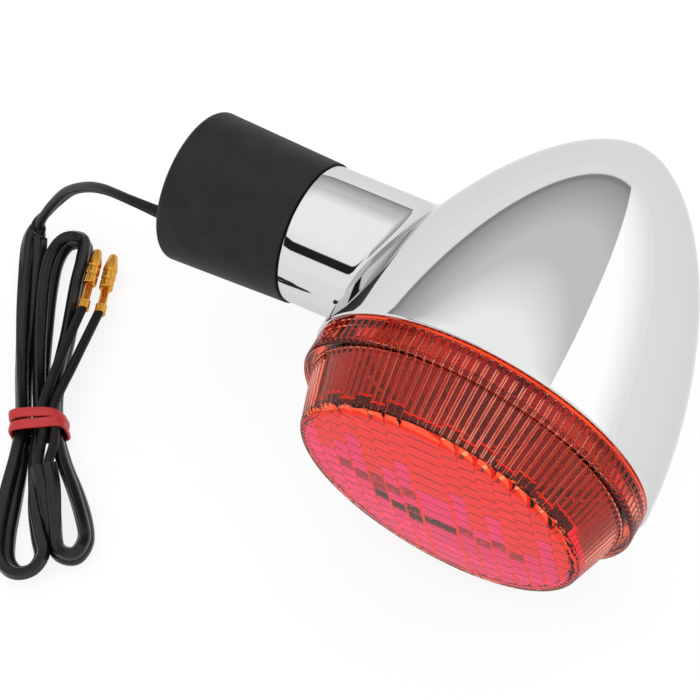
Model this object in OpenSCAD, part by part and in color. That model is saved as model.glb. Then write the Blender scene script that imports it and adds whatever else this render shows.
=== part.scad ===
// Motorcycle turn signal: a chrome bullet lamp on a stalk with a rubber mount and two leads.
// The origin is the middle of the rubber mount's end face, on the stalk's axis.
// X runs along the stalk to the lamp, the lens faces -Y and Z is up.

/* [Lamp head] */
// Distance from the mounting face to the lamp's axis
lamp_x = 84; // [78:0.5:96]
// Outer radius of the housing at its mouth
head_r = 38.4; // [37:0.1:42]
// Length of the bullet from its mouth to its tip
head_depth = 72.5; // [68:0.5:80]
// How far the mouth lies in front of the stalk's axis
mouth_f = 25.8; // [25:0.1:29]
// Wall of the housing
shell_wall = 2; // [1.6:0.1:2.6]
// How slowly the bullet narrows behind its mouth
nose_start = 1.67; // [1.55:0.01:1.85]
// How blunt the bullet's tip is
nose_blunt = 1.72; // [1.6:0.01:1.9]

/* [Lens] */
// Width of the band that meets the housing
band_h = 6.4; // [5:0.1:8]
// How far the band stands in from the housing's mouth
band_inset = 0.6; // [0.3:0.1:1]
// Step from the band in to the skirt
band_step = 2.2; // [1.4:0.1:2.8]
// Height of the tapering skirt below the band
skirt_h = 12.4; // [10:0.1:15]
// How much the skirt narrows to the front edge
skirt_taper = 3.5; // [2:0.1:4]
// Rounding of the lens's front edge
front_round = 2; // [1:0.1:3]
// How far the front face bulges
front_dome = 1.6; // [0.8:0.1:2.4]
// Wall of the lens
lens_wall = 2.2; // [1.8:0.1:2.6]
// Flutes round the inside of the lens
flute_count = 108; // [60:1:140]
// Depth of a flute
flute_depth = 0.7; // [0.3:0.1:1]
// Pitch of the prisms behind the front face, along and across
prism_pitch = 3.7; // [3.2:0.1:6]
// Width of the middle column of prisms
prism_mid = 8.4; // [6:0.2:10]
// Height of a prism
prism_h = 1.4; // [0.8:0.1:2]
// Thickness of the gasket between housing and lens
gasket_t = 0.6; // [0.4:0.1:1]

/* [Stalk and mount] */
// Outer radius of the chrome stalk
stem_r = 15.5; // [14.5:0.1:16.5]
// Wall of the chrome stalk
stem_wall = 1.8; // [1.4:0.1:2.2]
// Length of the rubber mount
boot_len = 29.6; // [27:0.1:32]
// Radius of the rubber mount at its free end
boot_r = 17; // [16.6:0.1:19]
// How far the rubber stands out round the stalk's end
boot_lip = 0.4; // [0.2:0.1:1]
// Rounding of the rubber mount's free end
boot_round = 1.4; // [0.6:0.1:2]
// Radius of the steel inserts in the rubber
insert_r = 6; // [5.6:0.1:6.4]
// Length of the threaded insert at the free end
insert_len = 13; // [11:0.5:14]
// Radius of the mounting hole, before its thread
thread_r = 3.4; // [3:0.1:3.8]
// Depth of the mounting hole
thread_depth = 12; // [8:0.5:14]
// Radius of the bolt that holds the stalk together
bolt_r = 4; // [3.5:0.1:4.4]
// Distance of the wires from the stalk's axis
wire_off = 9.5; // [9.2:0.1:10]

/* [Reflector and bulb] */
// Radius of the reflector's mouth
bowl_r = 30; // [28:0.5:31]
// Radius of the reflector where it meets its hub
hub_r = 12; // [11.6:0.1:13]
// Depth of the reflector
bowl_depth = 16; // [14:0.5:17]
// Wall of the reflector
bowl_wall = 1.2; // [1:0.1:1.5]
// Radius of the bulb's metal cap
cap_r = 7.5; // [7.2:0.1:7.8]
// Radius of the bulb's glass
globe_r = 13; // [11:0.5:14]
// Radius of the bulb's bayonet pins
pin_r = 1; // [0.8:0.1:1.2]
// How far the bulb can be pressed into its socket
press_travel = 1.6; // [1:0.1:2]
// Wall of the bulb socket
socket_wall = 0.8; // [0.6:0.1:1]
// Radius of the contact spring's wire
spring_wire_r = 0.4; // [0.3:0.05:0.5]
// Turns of the contact spring
spring_turns = 4; // [3:1:5]

/* [Leads] */
// Radius of a wire with its insulation
wire_r = 1.1; // [0.9:0.1:1.2]
// Width of the flat sleeve over the two wires
sleeve_w = 5.2; // [4.8:0.1:5.6]
// Thickness of the flat sleeve
sleeve_t = 2.8; // [2.6:0.1:3]
// Width of one turn of the rubber band
band_turn_w = 2.2; // [1.6:0.1:2.6]
// Thickness of the rubber band
band_turn_t = 0.6; // [0.4:0.1:0.6]
// Radius of a bullet connector
bullet_r = 1.65; // [1.5:0.05:1.75]

/* [Hidden] */
$fn = 72;

// Clearances: a seat that touches, a piece that slides, a piece that comes off and a cut that runs past
seat = 0.02;
slide = 0.25;
loose = 0.3;
over = 1;

// Housing
profile_steps = 30;
bore_r = head_r - shell_wall;
cavity_depth = head_depth - 1.5 * shell_wall;
ledge_drop = 6.8;
ledge_t = 3;
ledge_f = mouth_f - ledge_drop;
spigot_gap = 8;
spigot_x = boot_len + spigot_gap;
spigot_r = stem_r - stem_wall - seat;
pad_r = 8.5;
pad_proud = 0.4;
pad_x = lamp_x - bullet_radius(-pad_r, bore_r, cavity_depth) + pad_proud;

// Stalk, bolt and rubber mount
stem_edge = 0.7;
bolt_head_r = 7;
bolt_head_h = 5.2;
washer_t = 1.4;
washer_inset = 0.5;
plate_gap = 0.6;
plate_r = stem_r - stem_wall - plate_gap;
plate_t = 2;
bush_len = 11;
bush_x = boot_len - bush_len;
bolt_end_x = bush_x + over;
waist_depth = 0.8;
waist_from = 4;
waist_to = 9;

// Reflector
bowl_steps = 10;
bowl_k = bowl_depth / (bowl_r * bowl_r - hub_r * hub_r);
flange_gap = 0.5;
flange_r = bore_r - flange_gap;
flange_f = ledge_f + bowl_wall;
hub_f = ledge_f - bowl_depth;
hub_len = 5;
hub_back_f = hub_f - hub_len;

// Lens: its spigot reaches down to the reflector's flange and holds it on the housing's ledge
gasket_gap = 0.1;
lens_back_f = mouth_f + gasket_t + gasket_gap;
lens_edge = 0.8;
dome_steps = 6;
band_f = mouth_f + band_h;
band_r = head_r - band_inset;
skirt_r = band_r - band_step;
face_f = band_f + skirt_h;
face_r = skirt_r - skirt_taper;
lip_gap = 0.2;
lip_w = (band_r - bore_r) / 2;
gasket_r = band_r - lip_w - gasket_gap;
spigot_end_f = flange_f + loose;
lens_spigot_r = bore_r - loose;
spigot_end_r = bullet_radius(spigot_end_f, bore_r, cavity_depth) - loose;
flute_r = spigot_end_r - lens_wall + flute_depth;
foot_flute_r = skirt_r - lens_wall + flute_depth;
face_flute_r = face_r - lens_wall + flute_depth;
prism_low = 0.2;
prism_step = 0.3;

// Bulb and socket, measured from the bulb's light centre
light_drop = 4;
light_len = 28;
filament_f = ledge_f - light_drop;
pin_f = filament_f - light_len;
pin_len = 1.2;
cap_rise = 8;
cap_drop = 7;
cap_front_f = pin_f + cap_rise;
cap_back_f = pin_f - cap_drop;
cap_wall = 0.6;
cap_floor = 2;
contact_h = 1.6;
contact_r = 2;
contact_f = cap_back_f - contact_h;
neck_gap = 1.2;
neck_r = cap_r - neck_gap;
neck_in = 6;
globe_wall = 0.7;
post_r = 2.4;
support_r = 0.25;
support_in = 1;
support_x = post_r - 2 * support_r;
coil_r = 0.35;
coil_half = 3.2;
post_top_f = filament_f - 2 * coil_half;
support_lean = atan((coil_half - support_x) / (filament_f - post_top_f));
socket_r = cap_r + slide;
socket_out_r = socket_r + socket_wall;
socket_front_f = hub_f - over;
flange_t = 1.2;
hook_turn = 26;
plunger_t = 2.4;
plunger_tail = 3;
plunger_f = contact_f - seat;
spring_len = 6;
spring_pocket = 0.6;
spring_inset = 2.6;
spring_r = socket_r - spring_inset;
socket_back_f = plunger_f - plunger_t - spring_len;
back_t = 2;
rivet_r = 2.2;
terminal_r = 3.2;
terminal_t = 0.8;

// Earth tag and the two screws that hold it and the socket to the reflector
tag_t = 0.8;
tag_w = 4;
tag_len = 5;
tag_hole_r = 0.8;
tag_rim = 0.2;
tag_f = hub_back_f - flange_t;
tag_x = lamp_x - hub_r - tag_len + tag_w / 2;
screw_gap = 0.2;
screw_ring_r = (socket_out_r + hub_r) / 2;
screw_head_r = (hub_r - socket_out_r) / 2 - screw_gap;
screw_head_h = 1.2;
screw_r = 0.6 * screw_head_r;
screw_bite = 3;

// Leads: each point is [x, y, z, tilt of the flat sleeve from standing on its edge]
pair_gap = 0.1;
pair_off = wire_r + pair_gap / 2;
pair_r = 2 * wire_r + pair_gap;
grommet_wall = 0.9;
grommet_lip = 0.6;
grommet_lip_t = 1.2;
grommet_len = 9;
grommet_r = pair_r + grommet_wall;
wire_bend = 4.5;
wall_gap = 1.2;
live_turn = 35;
lie_z = -35.2;
lead_route = [
    [0, -wire_off, 0, 180], [-5, -wire_off, -0.1, 168], [-12, -9, -1.2, 157], [-20.5, -7.4, -5, 152],
    [-28, -6, -11, 141], [-35, -5.6, -18, 130], [-40.5, -6.6, -25.5, 125], [-44, -8.2, -31, 120],
    [-45.2, -9.4, -33.3, 114], [-45.2, -10.6, -34.2, 110]
];
sleeve_route = [
    [-45.2, -10.7, -34.3, 110], [-45.2, -12.1, lie_z, 100], [-43.8, -15, lie_z, 85], [-40.5, -21, lie_z, 65],
    [-34.5, -32, lie_z, 35], [-28, -43.5, lie_z, 10], [-21.2, -54.4, lie_z, 0], [-17.2, -62.5, lie_z, 10],
    [-13.8, -71, lie_z, 20], [-10.4, -79, lie_z, 20], [-7, -84, lie_z, 10], [-3, -85.6, lie_z, 0],
    [0, -83.4, lie_z, 0], [0, -79.4, lie_z, 0], [-3.4, -75.6, lie_z, 0], [-8, -70, lie_z, 0],
    [-13, -62, lie_z, 0], [-17.5, -53, lie_z, 0], [-24, -42.5, lie_z, 0], [-30, -32, lie_z, 0],
    [-35.5, -21.5, lie_z, 0], [-38, -14.5, lie_z, 0], [-37.4, -9.8, lie_z, 10], [-33.6, -8.6, lie_z, 10],
    [-31.2, -13.2, lie_z, 0], [-28.9, -19.5, lie_z, 0], [-24, -31, lie_z, 0], [-19.4, -43, lie_z, 0],
    [-14, -51.6, lie_z, 0], [-8, -58, lie_z, 0], [-1, -64, lie_z, 0], [5, -70, lie_z, 0],
    [8, -75.6, lie_z, 10], [6.4, -79.6, lie_z + 0.2, 20], [2, -77.4, lie_z + 0.8, 40],
    [-2.5, -71.4, lie_z + 2.4, 65], [-6.5, -66, lie_z + 4, 85], [-9.4, -62.4, lie_z + 4.3, 90]
];
left_tail = [
    [-10.5, -62.8, lie_z + 4.3], [-12.2, -59.4, lie_z + 4.1], [-14.4, -54.6, lie_z + 4],
    [-17.6, -50, lie_z + 4], [-18.9, -38.5, lie_z + 3]
];
right_tail = [
    [-8.6, -61.2, lie_z + 4.3], [-10, -57.4, lie_z + 4.1], [-12.2, -53.2, lie_z + 4],
    [-15.4, -48.5, lie_z + 4], [-16, -37.5, lie_z + 2.4]
];
left_end = [-24, -23, lie_z + 2.2];
right_end = [-20.4, -22, lie_z + 1.2];
left_tip = [-29.3, -9.3, lie_z + 0.8];
right_tip = [-25.7, -8.8, lie_z - 0.4];
tie_at = [-17.4, -53, lie_z];
tie_turn = -56;
tie_half = 5.8;
tie_high = 4;
tie_room = 0.1;
tie_corner = 1.2;

// Bullet connector, from the end of the wire's insulation
grip_h = 2.3;
neck_h = 5.2;
collar_h = 2.2;
cone_h = 4.5;
tip_inset = 0.7;
crimp_t = 0.45;
crimp_r = wire_r + crimp_t;
waist_cut = 0.3;
connector_len = 14.6;

// Radius of the bullet at a place along its axis, for a given mouth radius and depth
function bullet_radius(f, r, depth) = r * pow(1 - pow((mouth_f - f) / depth, nose_start), 1 / nose_blunt);

// Depth shares that crowd towards the tip, where the curve is tight
function bullet_share(i) = sin(90 * i / profile_steps);

// Outline of a solid bullet from its mouth to its tip
function bullet_outline(r, depth) = concat(
    [[0, mouth_f]],
    [for (i = [0:profile_steps - 1])
        let (f = mouth_f - depth * bullet_share(i)) [bullet_radius(f, r, depth), f]],
    [[0, mouth_f - depth]]
);

function unit(v) = v / norm(v);
function place(p) = [p[0], p[1], p[2]];
function heading(path, i) =
    unit(place(path[min(i + 1, len(path) - 1)]) - place(path[max(i - 1, 0)]));
function tilt_of(p) = is_undef(p[3]) ? 0 : p[3];

// Direction of the sleeve's width: upright, then leaned over by the tilt
function width_dir(t, tilt) =
    let (v = unit([0, 0, 1] - t[2] * t), h = cross(t, v)) cos(tilt) * v + sin(tilt) * h;

function swept_ring(path, i, wide, thick, side, sides) =
    let (t = heading(path, i), w = width_dir(t, tilt_of(path[i])), n = cross(t, w))
    [for (j = [0:sides - 1])
        place(path[i]) + side * w + wide * cos(360 * j / sides) * w + thick * sin(360 * j / sides) * n];

// Places a shape on the lamp's axis: its Z runs forward, out of the lens
module on_lamp_axis() {
    translate([lamp_x, 0, 0]) rotate([90, 0, 0]) children();
}

// Places a shape on the stalk's axis: its Z runs from the mounting face to the lamp
module on_stem_axis() {
    rotate([0, 90, 0]) children();
}

// Places a shape on the wires' line inside the stalk
module on_wire_line() {
    translate([0, -wire_off, 0]) on_stem_axis() children();
}

module ring(r_out, r_in, from, to) {
    translate([0, 0, from])
        difference() {
            cylinder(r = r_out, h = to - from);
            translate([0, 0, -over]) cylinder(r = r_in, h = to - from + 2 * over);
        }
}

// A tube swept along a path, round or flat, set to one side of it
module swept_tube(path, wide, thick, side = 0, sides = 8) {
    last = len(path) - 1;
    points = [for (i = [0:last]) each swept_ring(path, i, wide, thick, side, sides)];
    walls = [for (i = [0:last - 1], j = [0:sides - 1])
        let (k = (j + 1) % sides, here = i * sides, next = here + sides)
        each [[here + j, next + j, next + k], [here + j, next + k, here + k]]];
    start = [for (j = [0:sides - 1]) j];
    finish = [for (j = [sides - 1:-1:0]) last * sides + j];
    polyhedron(points = points, faces = concat(walls, [start, finish]));
}

module bullet_solid(r, depth) {
    on_lamp_axis() rotate_extrude() polygon(bullet_outline(r, depth));
}

// Housing: the chromed bullet with its ledge, its spigot for the stalk and its bolt pad
module housing() {
    color("silver")
    difference() {
        union() {
            difference() {
                union() {
                    bullet_solid(head_r, head_depth);
                    on_stem_axis() translate([0, 0, spigot_x])
                        cylinder(r = spigot_r, h = pad_x - spigot_x);
                }
                bullet_solid(bore_r, cavity_depth);
            }
            on_lamp_axis()
                ring(bore_r + shell_wall / 2, bowl_r + bowl_wall + loose, ledge_f - ledge_t, ledge_f);
            on_stem_axis() translate([0, 0, spigot_x]) cylinder(r = pad_r, h = pad_x - spigot_x);
        }
        on_stem_axis() translate([0, 0, spigot_x - over])
            cylinder(r = bolt_r + slide, h = pad_x - spigot_x + 2 * over);
        on_wire_line() translate([0, 0, spigot_x - over])
            cylinder(r = grommet_r + seat, h = pad_x - spigot_x + 2 * over);
    }
}

module at_screws() {
    for (turn = [90, 270]) rotate([0, 0, turn]) translate([screw_ring_r, 0, 0]) children();
}

// Stalk: a chromed tube with a rolled edge, cut to the bullet's flank
module stem_tube() {
    color("silver")
    difference() {
        on_stem_axis() rotate_extrude() polygon(concat(
            [[stem_r - stem_wall, boot_len]],
            [for (a = [0:15:90])
                [stem_r - stem_edge + stem_edge * sin(a), boot_len + stem_edge - stem_edge * cos(a)]],
            [[stem_r, lamp_x - head_r / 2], [stem_r - stem_wall, lamp_x - head_r / 2]]
        ));
        bullet_solid(head_r, head_depth);
    }
}

// Bolt that clamps housing, stalk and rubber mount together
module stem_bolt() {
    color("dimgray")
    on_stem_axis() union() {
        translate([0, 0, bolt_end_x]) cylinder(r = bolt_r, h = pad_x + washer_t - bolt_end_x + over);
        translate([0, 0, pad_x + washer_t]) cylinder(r = bolt_head_r, h = bolt_head_h, $fn = 6);
    }
}

module stem_washer() {
    color("gainsboro") on_stem_axis() ring(pad_r - washer_inset, bolt_r + slide, pad_x, pad_x + washer_t);
}

// Rubber mount: tapers to the stalk and holds the two inserts and the wires
module rubber_boot() {
    color([0.16, 0.16, 0.16])
    difference() {
        on_stem_axis() rotate_extrude() boot_outline();
        on_stem_axis() rotate_extrude() insert_outline(seat);
        on_stem_axis() translate([0, 0, bush_x - seat]) cylinder(r = insert_r + seat, h = boot_len);
        on_stem_axis() translate([0, 0, boot_len - plate_t - seat])
            cylinder(r = plate_r + seat, h = boot_len);
        on_wire_line() translate([0, 0, -over]) cylinder(r = pair_r, h = boot_len + 2 * over);
    }
}

module boot_outline() {
    polygon(concat(
        [[0, boot_len], [0, 0]],
        [for (a = [0:15:90])
            [boot_r - boot_round + boot_round * sin(a), boot_round - boot_round * cos(a)]],
        [[stem_r + boot_lip, boot_len]]
    ));
}

// Threaded insert in the free end, with a waist that the rubber grips
module mount_insert() {
    color("goldenrod")
    difference() {
        on_stem_axis() rotate_extrude() insert_outline(0);
        on_stem_axis() translate([0, 0, -over]) cylinder(r = thread_r, h = thread_depth + over);
    }
}

// Outline of the insert, or with a little room all round, of its seat in the rubber
module insert_outline(room) {
    wide = insert_r + room;
    narrow = wide - waist_depth;
    polygon([
        [0, -room], [wide, -room], [wide, waist_from], [narrow, waist_from + waist_depth],
        [narrow, waist_to - waist_depth], [wide, waist_to], [wide, insert_len + room], [0, insert_len + room]
    ]);
}

// Plate and bush that the bolt pulls up against the stalk
module clamp_plate() {
    color("slategray")
    difference() {
        on_stem_axis() union() {
            translate([0, 0, bush_x]) cylinder(r = insert_r, h = boot_len - bush_x);
            translate([0, 0, boot_len - plate_t]) cylinder(r = plate_r, h = plate_t);
        }
        on_stem_axis() translate([0, 0, bush_x - over]) cylinder(r = bolt_r + seat, h = boot_len);
        on_wire_line() translate([0, 0, boot_len - plate_t - over])
            cylinder(r = pair_r, h = plate_t + 2 * over);
    }
}

// Grommet where the wires pass through the housing's spigot
module wire_grommet() {
    color([0.2, 0.2, 0.2])
    on_wire_line() union() {
        ring(grommet_r, pair_r, spigot_x, spigot_x + grommet_len);
        ring(grommet_r + grommet_lip, pair_r, spigot_x - grommet_lip_t, spigot_x);
    }
}

// Lens: band, stepped skirt and domed face, fluted inside, with prisms behind the face
module lens() {
    step_f = band_f - lens_wall;
    color([0.85, 0.05, 0.08, 0.8])
    on_lamp_axis() union() {
        difference() {
            rotate_extrude() lens_outline();
            translate([0, 0, spigot_end_f - over])
                linear_extrude(height = step_f - spigot_end_f + over) fluted_disc(flute_r);
            translate([0, 0, step_f - over])
                linear_extrude(height = skirt_h + over, scale = face_flute_r / foot_flute_r)
                    fluted_disc(foot_flute_r);
        }
        prisms();
    }
}

module lens_outline() {
    flat_r = face_r - front_round;
    polygon(concat(
        [[0, spigot_end_f], [spigot_end_r, spigot_end_f], [lens_spigot_r, lens_back_f],
         [band_r - lip_w, lens_back_f], [band_r - lip_w, mouth_f + lip_gap], [band_r, mouth_f + lip_gap]],
        [for (a = [0:22.5:90])
            [band_r - lens_edge + lens_edge * cos(a), band_f - lens_edge + lens_edge * sin(a)]],
        [[skirt_r, band_f]],
        [for (a = [0:18:90]) [flat_r + front_round * cos(a), face_f - front_round + front_round * sin(a)]],
        [for (i = [1:dome_steps])
            let (s = flat_r * (1 - i / dome_steps)) [s, face_f + front_dome * (1 - pow(s / flat_r, 2))]]
    ));
}

// A disc whose rim is a row of V-shaped flutes
module fluted_disc(r) {
    polygon([for (i = [0:2 * flute_count - 1])
        let (a = 180 * i / flute_count, s = i % 2 == 0 ? r : r - flute_depth) [s * cos(a), s * sin(a)]]);
}

// Columns of prisms on the inside of the front face: a wide one in the middle, and each staggered
// by half a pitch against the next
module prisms() {
    columns = ceil((face_r - prism_mid / 2) / prism_pitch);
    rows = ceil(face_r / prism_pitch);
    floor_f = face_f - lens_wall;
    intersection() {
        translate([0, 0, floor_f - 2 * prism_h])
            cylinder(r = face_flute_r - flute_depth - loose, h = 2 * prism_h + lens_wall / 2);
        for (column = [-columns:columns])
            translate([column_start(column), 0, 0])
                rotate([90, 0, 90]) linear_extrude(height = column == 0 ? prism_mid : prism_pitch)
                    prism_column(rows, floor_f, column % 2 == 0 ? 0 : prism_pitch / 2);
    }
}

function column_start(column) = column <= 0
    ? column * prism_pitch - prism_mid / 2
    : (column - 1) * prism_pitch + prism_mid / 2;

module prism_column(rows, floor_f, shift) {
    polygon(concat(
        [[-(rows + 1) * prism_pitch + shift, floor_f + lens_wall / 3]],
        [for (row = [-rows - 1:rows], end = [0, 1])
            [(row + end) * prism_pitch - end * prism_step + shift,
             floor_f - (end == 0 ? prism_low : prism_h)]],
        [[(rows + 1) * prism_pitch - prism_step + shift, floor_f + lens_wall / 3]]
    ));
}

module lens_gasket() {
    color([0.12, 0.12, 0.12]) on_lamp_axis() ring(gasket_r, bore_r, mouth_f, mouth_f + gasket_t);
}

// Reflector: a parabolic bowl with a flange on the housing's ledge and a hub for the socket
function bowl_f(r) = hub_f + bowl_k * (r * r - hub_r * hub_r);
module reflector() {
    rings = [for (i = [0:bowl_steps]) hub_r + (bowl_r - hub_r) * i / bowl_steps];
    color("whitesmoke")
    on_lamp_axis() difference() {
        rotate_extrude() polygon(concat(
            [[socket_out_r + seat, hub_back_f], [socket_out_r + seat, socket_front_f],
             [hub_r - bowl_wall, hub_f + bowl_wall]],
            [for (r = rings) [r, bowl_f(r) + bowl_wall]],
            [[flange_r, flange_f], [flange_r, ledge_f]],
            [for (i = [bowl_steps:-1:0]) [rings[i] + bowl_wall, bowl_f(rings[i])]],
            [[hub_r, hub_back_f]]
        ));
        at_screws() translate([0, 0, hub_back_f - over])
            cylinder(r = screw_r + seat, h = screw_bite + over + seat);
    }
}

// Screws that hold the earth tag and the socket's flange to the reflector's hub
module reflector_screws() {
    slot_w = 0.5 * screw_r;
    low_f = tag_f - tag_t;
    color("lightgray")
    on_lamp_axis() at_screws() difference() {
        union() {
            translate([0, 0, low_f - screw_head_h / 2])
                cylinder(r = screw_r, h = hub_back_f + screw_bite - low_f);
            translate([0, 0, low_f - screw_head_h]) cylinder(r = screw_head_r, h = screw_head_h);
        }
        translate([-over - screw_head_r, -slot_w / 2, low_f - screw_head_h - over])
            cube([2 * (over + screw_head_r), slot_w, over + screw_head_h / 3]);
    }
}

// Socket: a steel sleeve with two hooked slots for the bulb's pins and a flange behind the reflector
module socket_shell() {
    slot_w = 2 * pin_r + 2 * slide;
    low_f = pin_f - press_travel - pin_r - slide;
    run_w = slot_w + 2 * socket_out_r * sin(hook_turn / 2);
    color("lightsteelblue")
    on_lamp_axis() difference() {
        rotate_extrude() polygon([
            [socket_r, socket_back_f - back_t], [socket_out_r, socket_back_f - back_t],
            [socket_out_r, tag_f], [hub_r, tag_f], [hub_r, hub_back_f],
            [socket_out_r, hub_back_f], [socket_out_r, socket_front_f], [socket_r, socket_front_f]
        ]);
        for (turn = [0, 180]) rotate([0, 0, turn]) {
            slot_cut(slot_w, low_f + slot_w / 2, pin_f + pin_r + slide);
            rotate([0, 0, hook_turn]) slot_cut(slot_w, low_f + slot_w / 2, socket_front_f + over);
            rotate([0, 0, hook_turn / 2]) slot_cut(run_w, low_f, low_f + slot_w);
        }
        at_screws() translate([0, 0, tag_f - over]) cylinder(r = screw_r + seat, h = flange_t + 2 * over);
    }
}

module slot_cut(wide, from, to) {
    translate([socket_r - over, -wide / 2, from]) cube([socket_wall + 2 * over, wide, to - from]);
}

module socket_back() {
    color("saddlebrown")
    on_lamp_axis() difference() {
        ring(socket_r - seat, rivet_r, socket_back_f - back_t, socket_back_f);
        ring(spring_r + 2.5 * spring_wire_r, spring_r - 2.5 * spring_wire_r,
            socket_back_f - spring_pocket, socket_back_f + over);
    }
}

// Sprung contact that follows the bulb's end
module contact_plunger() {
    step_f = plunger_f - spring_pocket;
    low_f = plunger_f - plunger_t;
    color("peru")
    on_lamp_axis() rotate_extrude() polygon([
        [0, low_f - plunger_tail], [contact_r, low_f - plunger_tail], [contact_r, low_f],
        [socket_r - slide, low_f], [socket_r - slide, step_f], [contact_r + spring_pocket, step_f],
        [contact_r + spring_pocket, plunger_f], [0, plunger_f]
    ]);
}

// Contact spring: turns of wire from the socket's back to the plunger
module contact_spring() {
    low = socket_back_f - spring_pocket + spring_wire_r + seat;
    high = plunger_f - plunger_t - spring_wire_r - seat;
    steps_per_turn = 16;
    steps = spring_turns * steps_per_turn;
    path = [for (i = [0:steps])
        let (a = 360 * i / steps_per_turn)
        [spring_r * cos(a), spring_r * sin(a), low + (high - low) * i / steps]];
    color("silver") on_lamp_axis() swept_tube(path, spring_wire_r, spring_wire_r, 0, 6);
}

// Rivet terminal on the socket's back that the live wire is soldered to
module live_terminal() {
    color("goldenrod")
    on_lamp_axis() translate([0, 0, socket_back_f - back_t]) union() {
        translate([0, 0, -terminal_t]) cylinder(r = terminal_r, h = terminal_t);
        translate([0, 0, -terminal_t / 2]) cylinder(r = rivet_r - seat, h = back_t + terminal_t / 2);
    }
}

// Earth tag clamped behind the socket's flange
module ground_lug() {
    color("goldenrod")
    on_lamp_axis() difference() {
        union() {
            ring(hub_r - tag_rim, socket_out_r + seat, tag_f - tag_t, tag_f);
            translate([-hub_r - tag_len, -tag_w / 2, tag_f - tag_t])
                cube([tag_len + tag_w / 2, tag_w, tag_t]);
        }
        translate([tag_x - lamp_x, 0, tag_f - tag_t - over]) cylinder(r = tag_hole_r, h = tag_t + 2 * over);
        at_screws() translate([0, 0, tag_f - tag_t - over])
            cylinder(r = screw_r + seat, h = tag_t + 2 * over);
    }
}

// Wires held inside the lamp, from the mounting face through the stalk and round the bolt's head
module held_wire(side, end_points) {
    straight = [for (i = [0:4]) [pad_x * i / 4, -wire_off, side * pair_off]];
    round_bolt = [pad_x + washer_t + bolt_head_h, -wire_off / 2, side * (bolt_head_r + wire_bend)];
    color([0.1, 0.1, 0.1]) swept_tube(concat(straight, [round_bolt], end_points), wire_r, wire_r);
}

// A place at a radius round the lamp's axis, turned up from the stalk
function round_lamp(r, f, turn) = [lamp_x - r * cos(turn), -f, r * sin(turn)];

// A place for a wire's middle close inside the housing's wall
function along_wall(f, turn) =
    round_lamp(bullet_radius(f, bore_r, cavity_depth) - wire_r - wall_gap, f, turn);

module live_wire() {
    end_f = socket_back_f - back_t - terminal_t - wire_r - seat;
    rim_r = socket_out_r + wire_r + slide;
    held_wire(1, [
        along_wall(hub_f - 3 * wire_bend, live_turn), along_wall(hub_f - 5 * wire_bend, live_turn),
        round_lamp(rim_r + wire_bend / 2, end_f + wire_bend, live_turn),
        round_lamp(rim_r, end_f, live_turn), round_lamp(rim_r / 2, end_f, live_turn),
        round_lamp(0, end_f, live_turn)
    ]);
}

module ground_wire() {
    tag_y = -(tag_f - tag_t) + wire_r + seat;
    held_wire(-1, [
        [tag_x - wire_bend, tag_y - wire_bend, -2 * wire_bend], [tag_x - wire_bend / 4, tag_y, -wire_bend],
        [tag_x, tag_y, 0]
    ]);
}

// Bulb: its cap is a drawn cup with two pins, closed by an insulated end contact
module bulb_cap() {
    color("lightgray")
    on_lamp_axis() union() {
        rotate_extrude() polygon([
            [0, contact_f], [contact_r, contact_f], [1.5 * contact_r, cap_back_f], [cap_r, cap_back_f],
            [cap_r, cap_front_f], [cap_r - cap_wall, cap_front_f], [cap_r - cap_wall, cap_back_f + cap_floor],
            [0, cap_back_f + cap_floor]
        ]);
        for (turn = [0, 180]) rotate([0, 0, turn])
            translate([cap_r - cap_wall / 2, 0, pin_f]) rotate([0, 90, 0]) cylinder(r = pin_r, h = pin_len);
    }
}

// A globe with a straight neck that starts at a place along the axis
module globe(r, neck, from) {
    translate([0, 0, filament_f]) sphere(r = r);
    translate([0, 0, from]) cylinder(r = neck, h = filament_f - from);
}

module bulb_glass() {
    neck_f = cap_front_f - neck_in;
    color([0.9, 0.9, 0.9, 0.4])
    on_lamp_axis() difference() {
        globe(globe_r, neck_r, neck_f);
        globe(globe_r - globe_wall, neck_r - globe_wall, neck_f - over);
    }
}

// Glass post that carries the filament's two supports
module bulb_stem() {
    post_f = cap_front_f - neck_in;
    color([0.85, 0.9, 0.9])
    on_lamp_axis() difference() {
        union() {
            translate([0, 0, post_f]) cylinder(r = neck_r - globe_wall - seat, h = over);
            translate([0, 0, post_f]) cylinder(r = post_r, h = post_top_f - post_f);
        }
        on_supports() translate([0, 0, -support_in]) cylinder(r = support_r + seat, h = support_in + over);
    }
}

// The filament's coil on two supports, whose feet stand in the glass stem
module bulb_filament() {
    color("gray")
    on_lamp_axis() union() {
        on_supports() translate([0, 0, seat - support_in])
            cylinder(r = support_r, h = support_in - seat + (filament_f - post_top_f) / cos(support_lean));
        translate([-coil_half, 0, filament_f]) rotate([0, 90, 0]) cylinder(r = coil_r, h = 2 * coil_half);
    }
}

module on_supports() {
    for (side = [-1, 1]) translate([side * support_x, 0, post_top_f]) rotate([0, side * support_lean, 0])
        children();
}

// Free leads, sleeve, tails and connectors
module lead_wires() {
    color([0.12, 0.12, 0.12])
    for (side = [-1, 1]) swept_tube(lead_route, wire_r, wire_r, side * pair_off);
}

module wire_sleeve() {
    color([0.1, 0.1, 0.1]) swept_tube(sleeve_route, sleeve_w / 2, sleeve_t / 2);
}

// A tail's points, with its last stretch in line with its connector
function tail_path(points, end, tip) = concat(points, [end - 1.2 * grip_h * unit(tip - end), end]);

module tail_wires() {
    color([0.12, 0.12, 0.12]) union() {
        swept_tube(tail_path(left_tail, left_end, left_tip), wire_r, wire_r);
        swept_tube(tail_path(right_tail, right_end, right_tip), wire_r, wire_r);
    }
}

// Turns the Z axis along a direction
module along(from, to) {
    v = to - from;
    translate(from) rotate([0, acos(v[2] / norm(v)), atan2(v[1], v[0])]) children();
}

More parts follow.
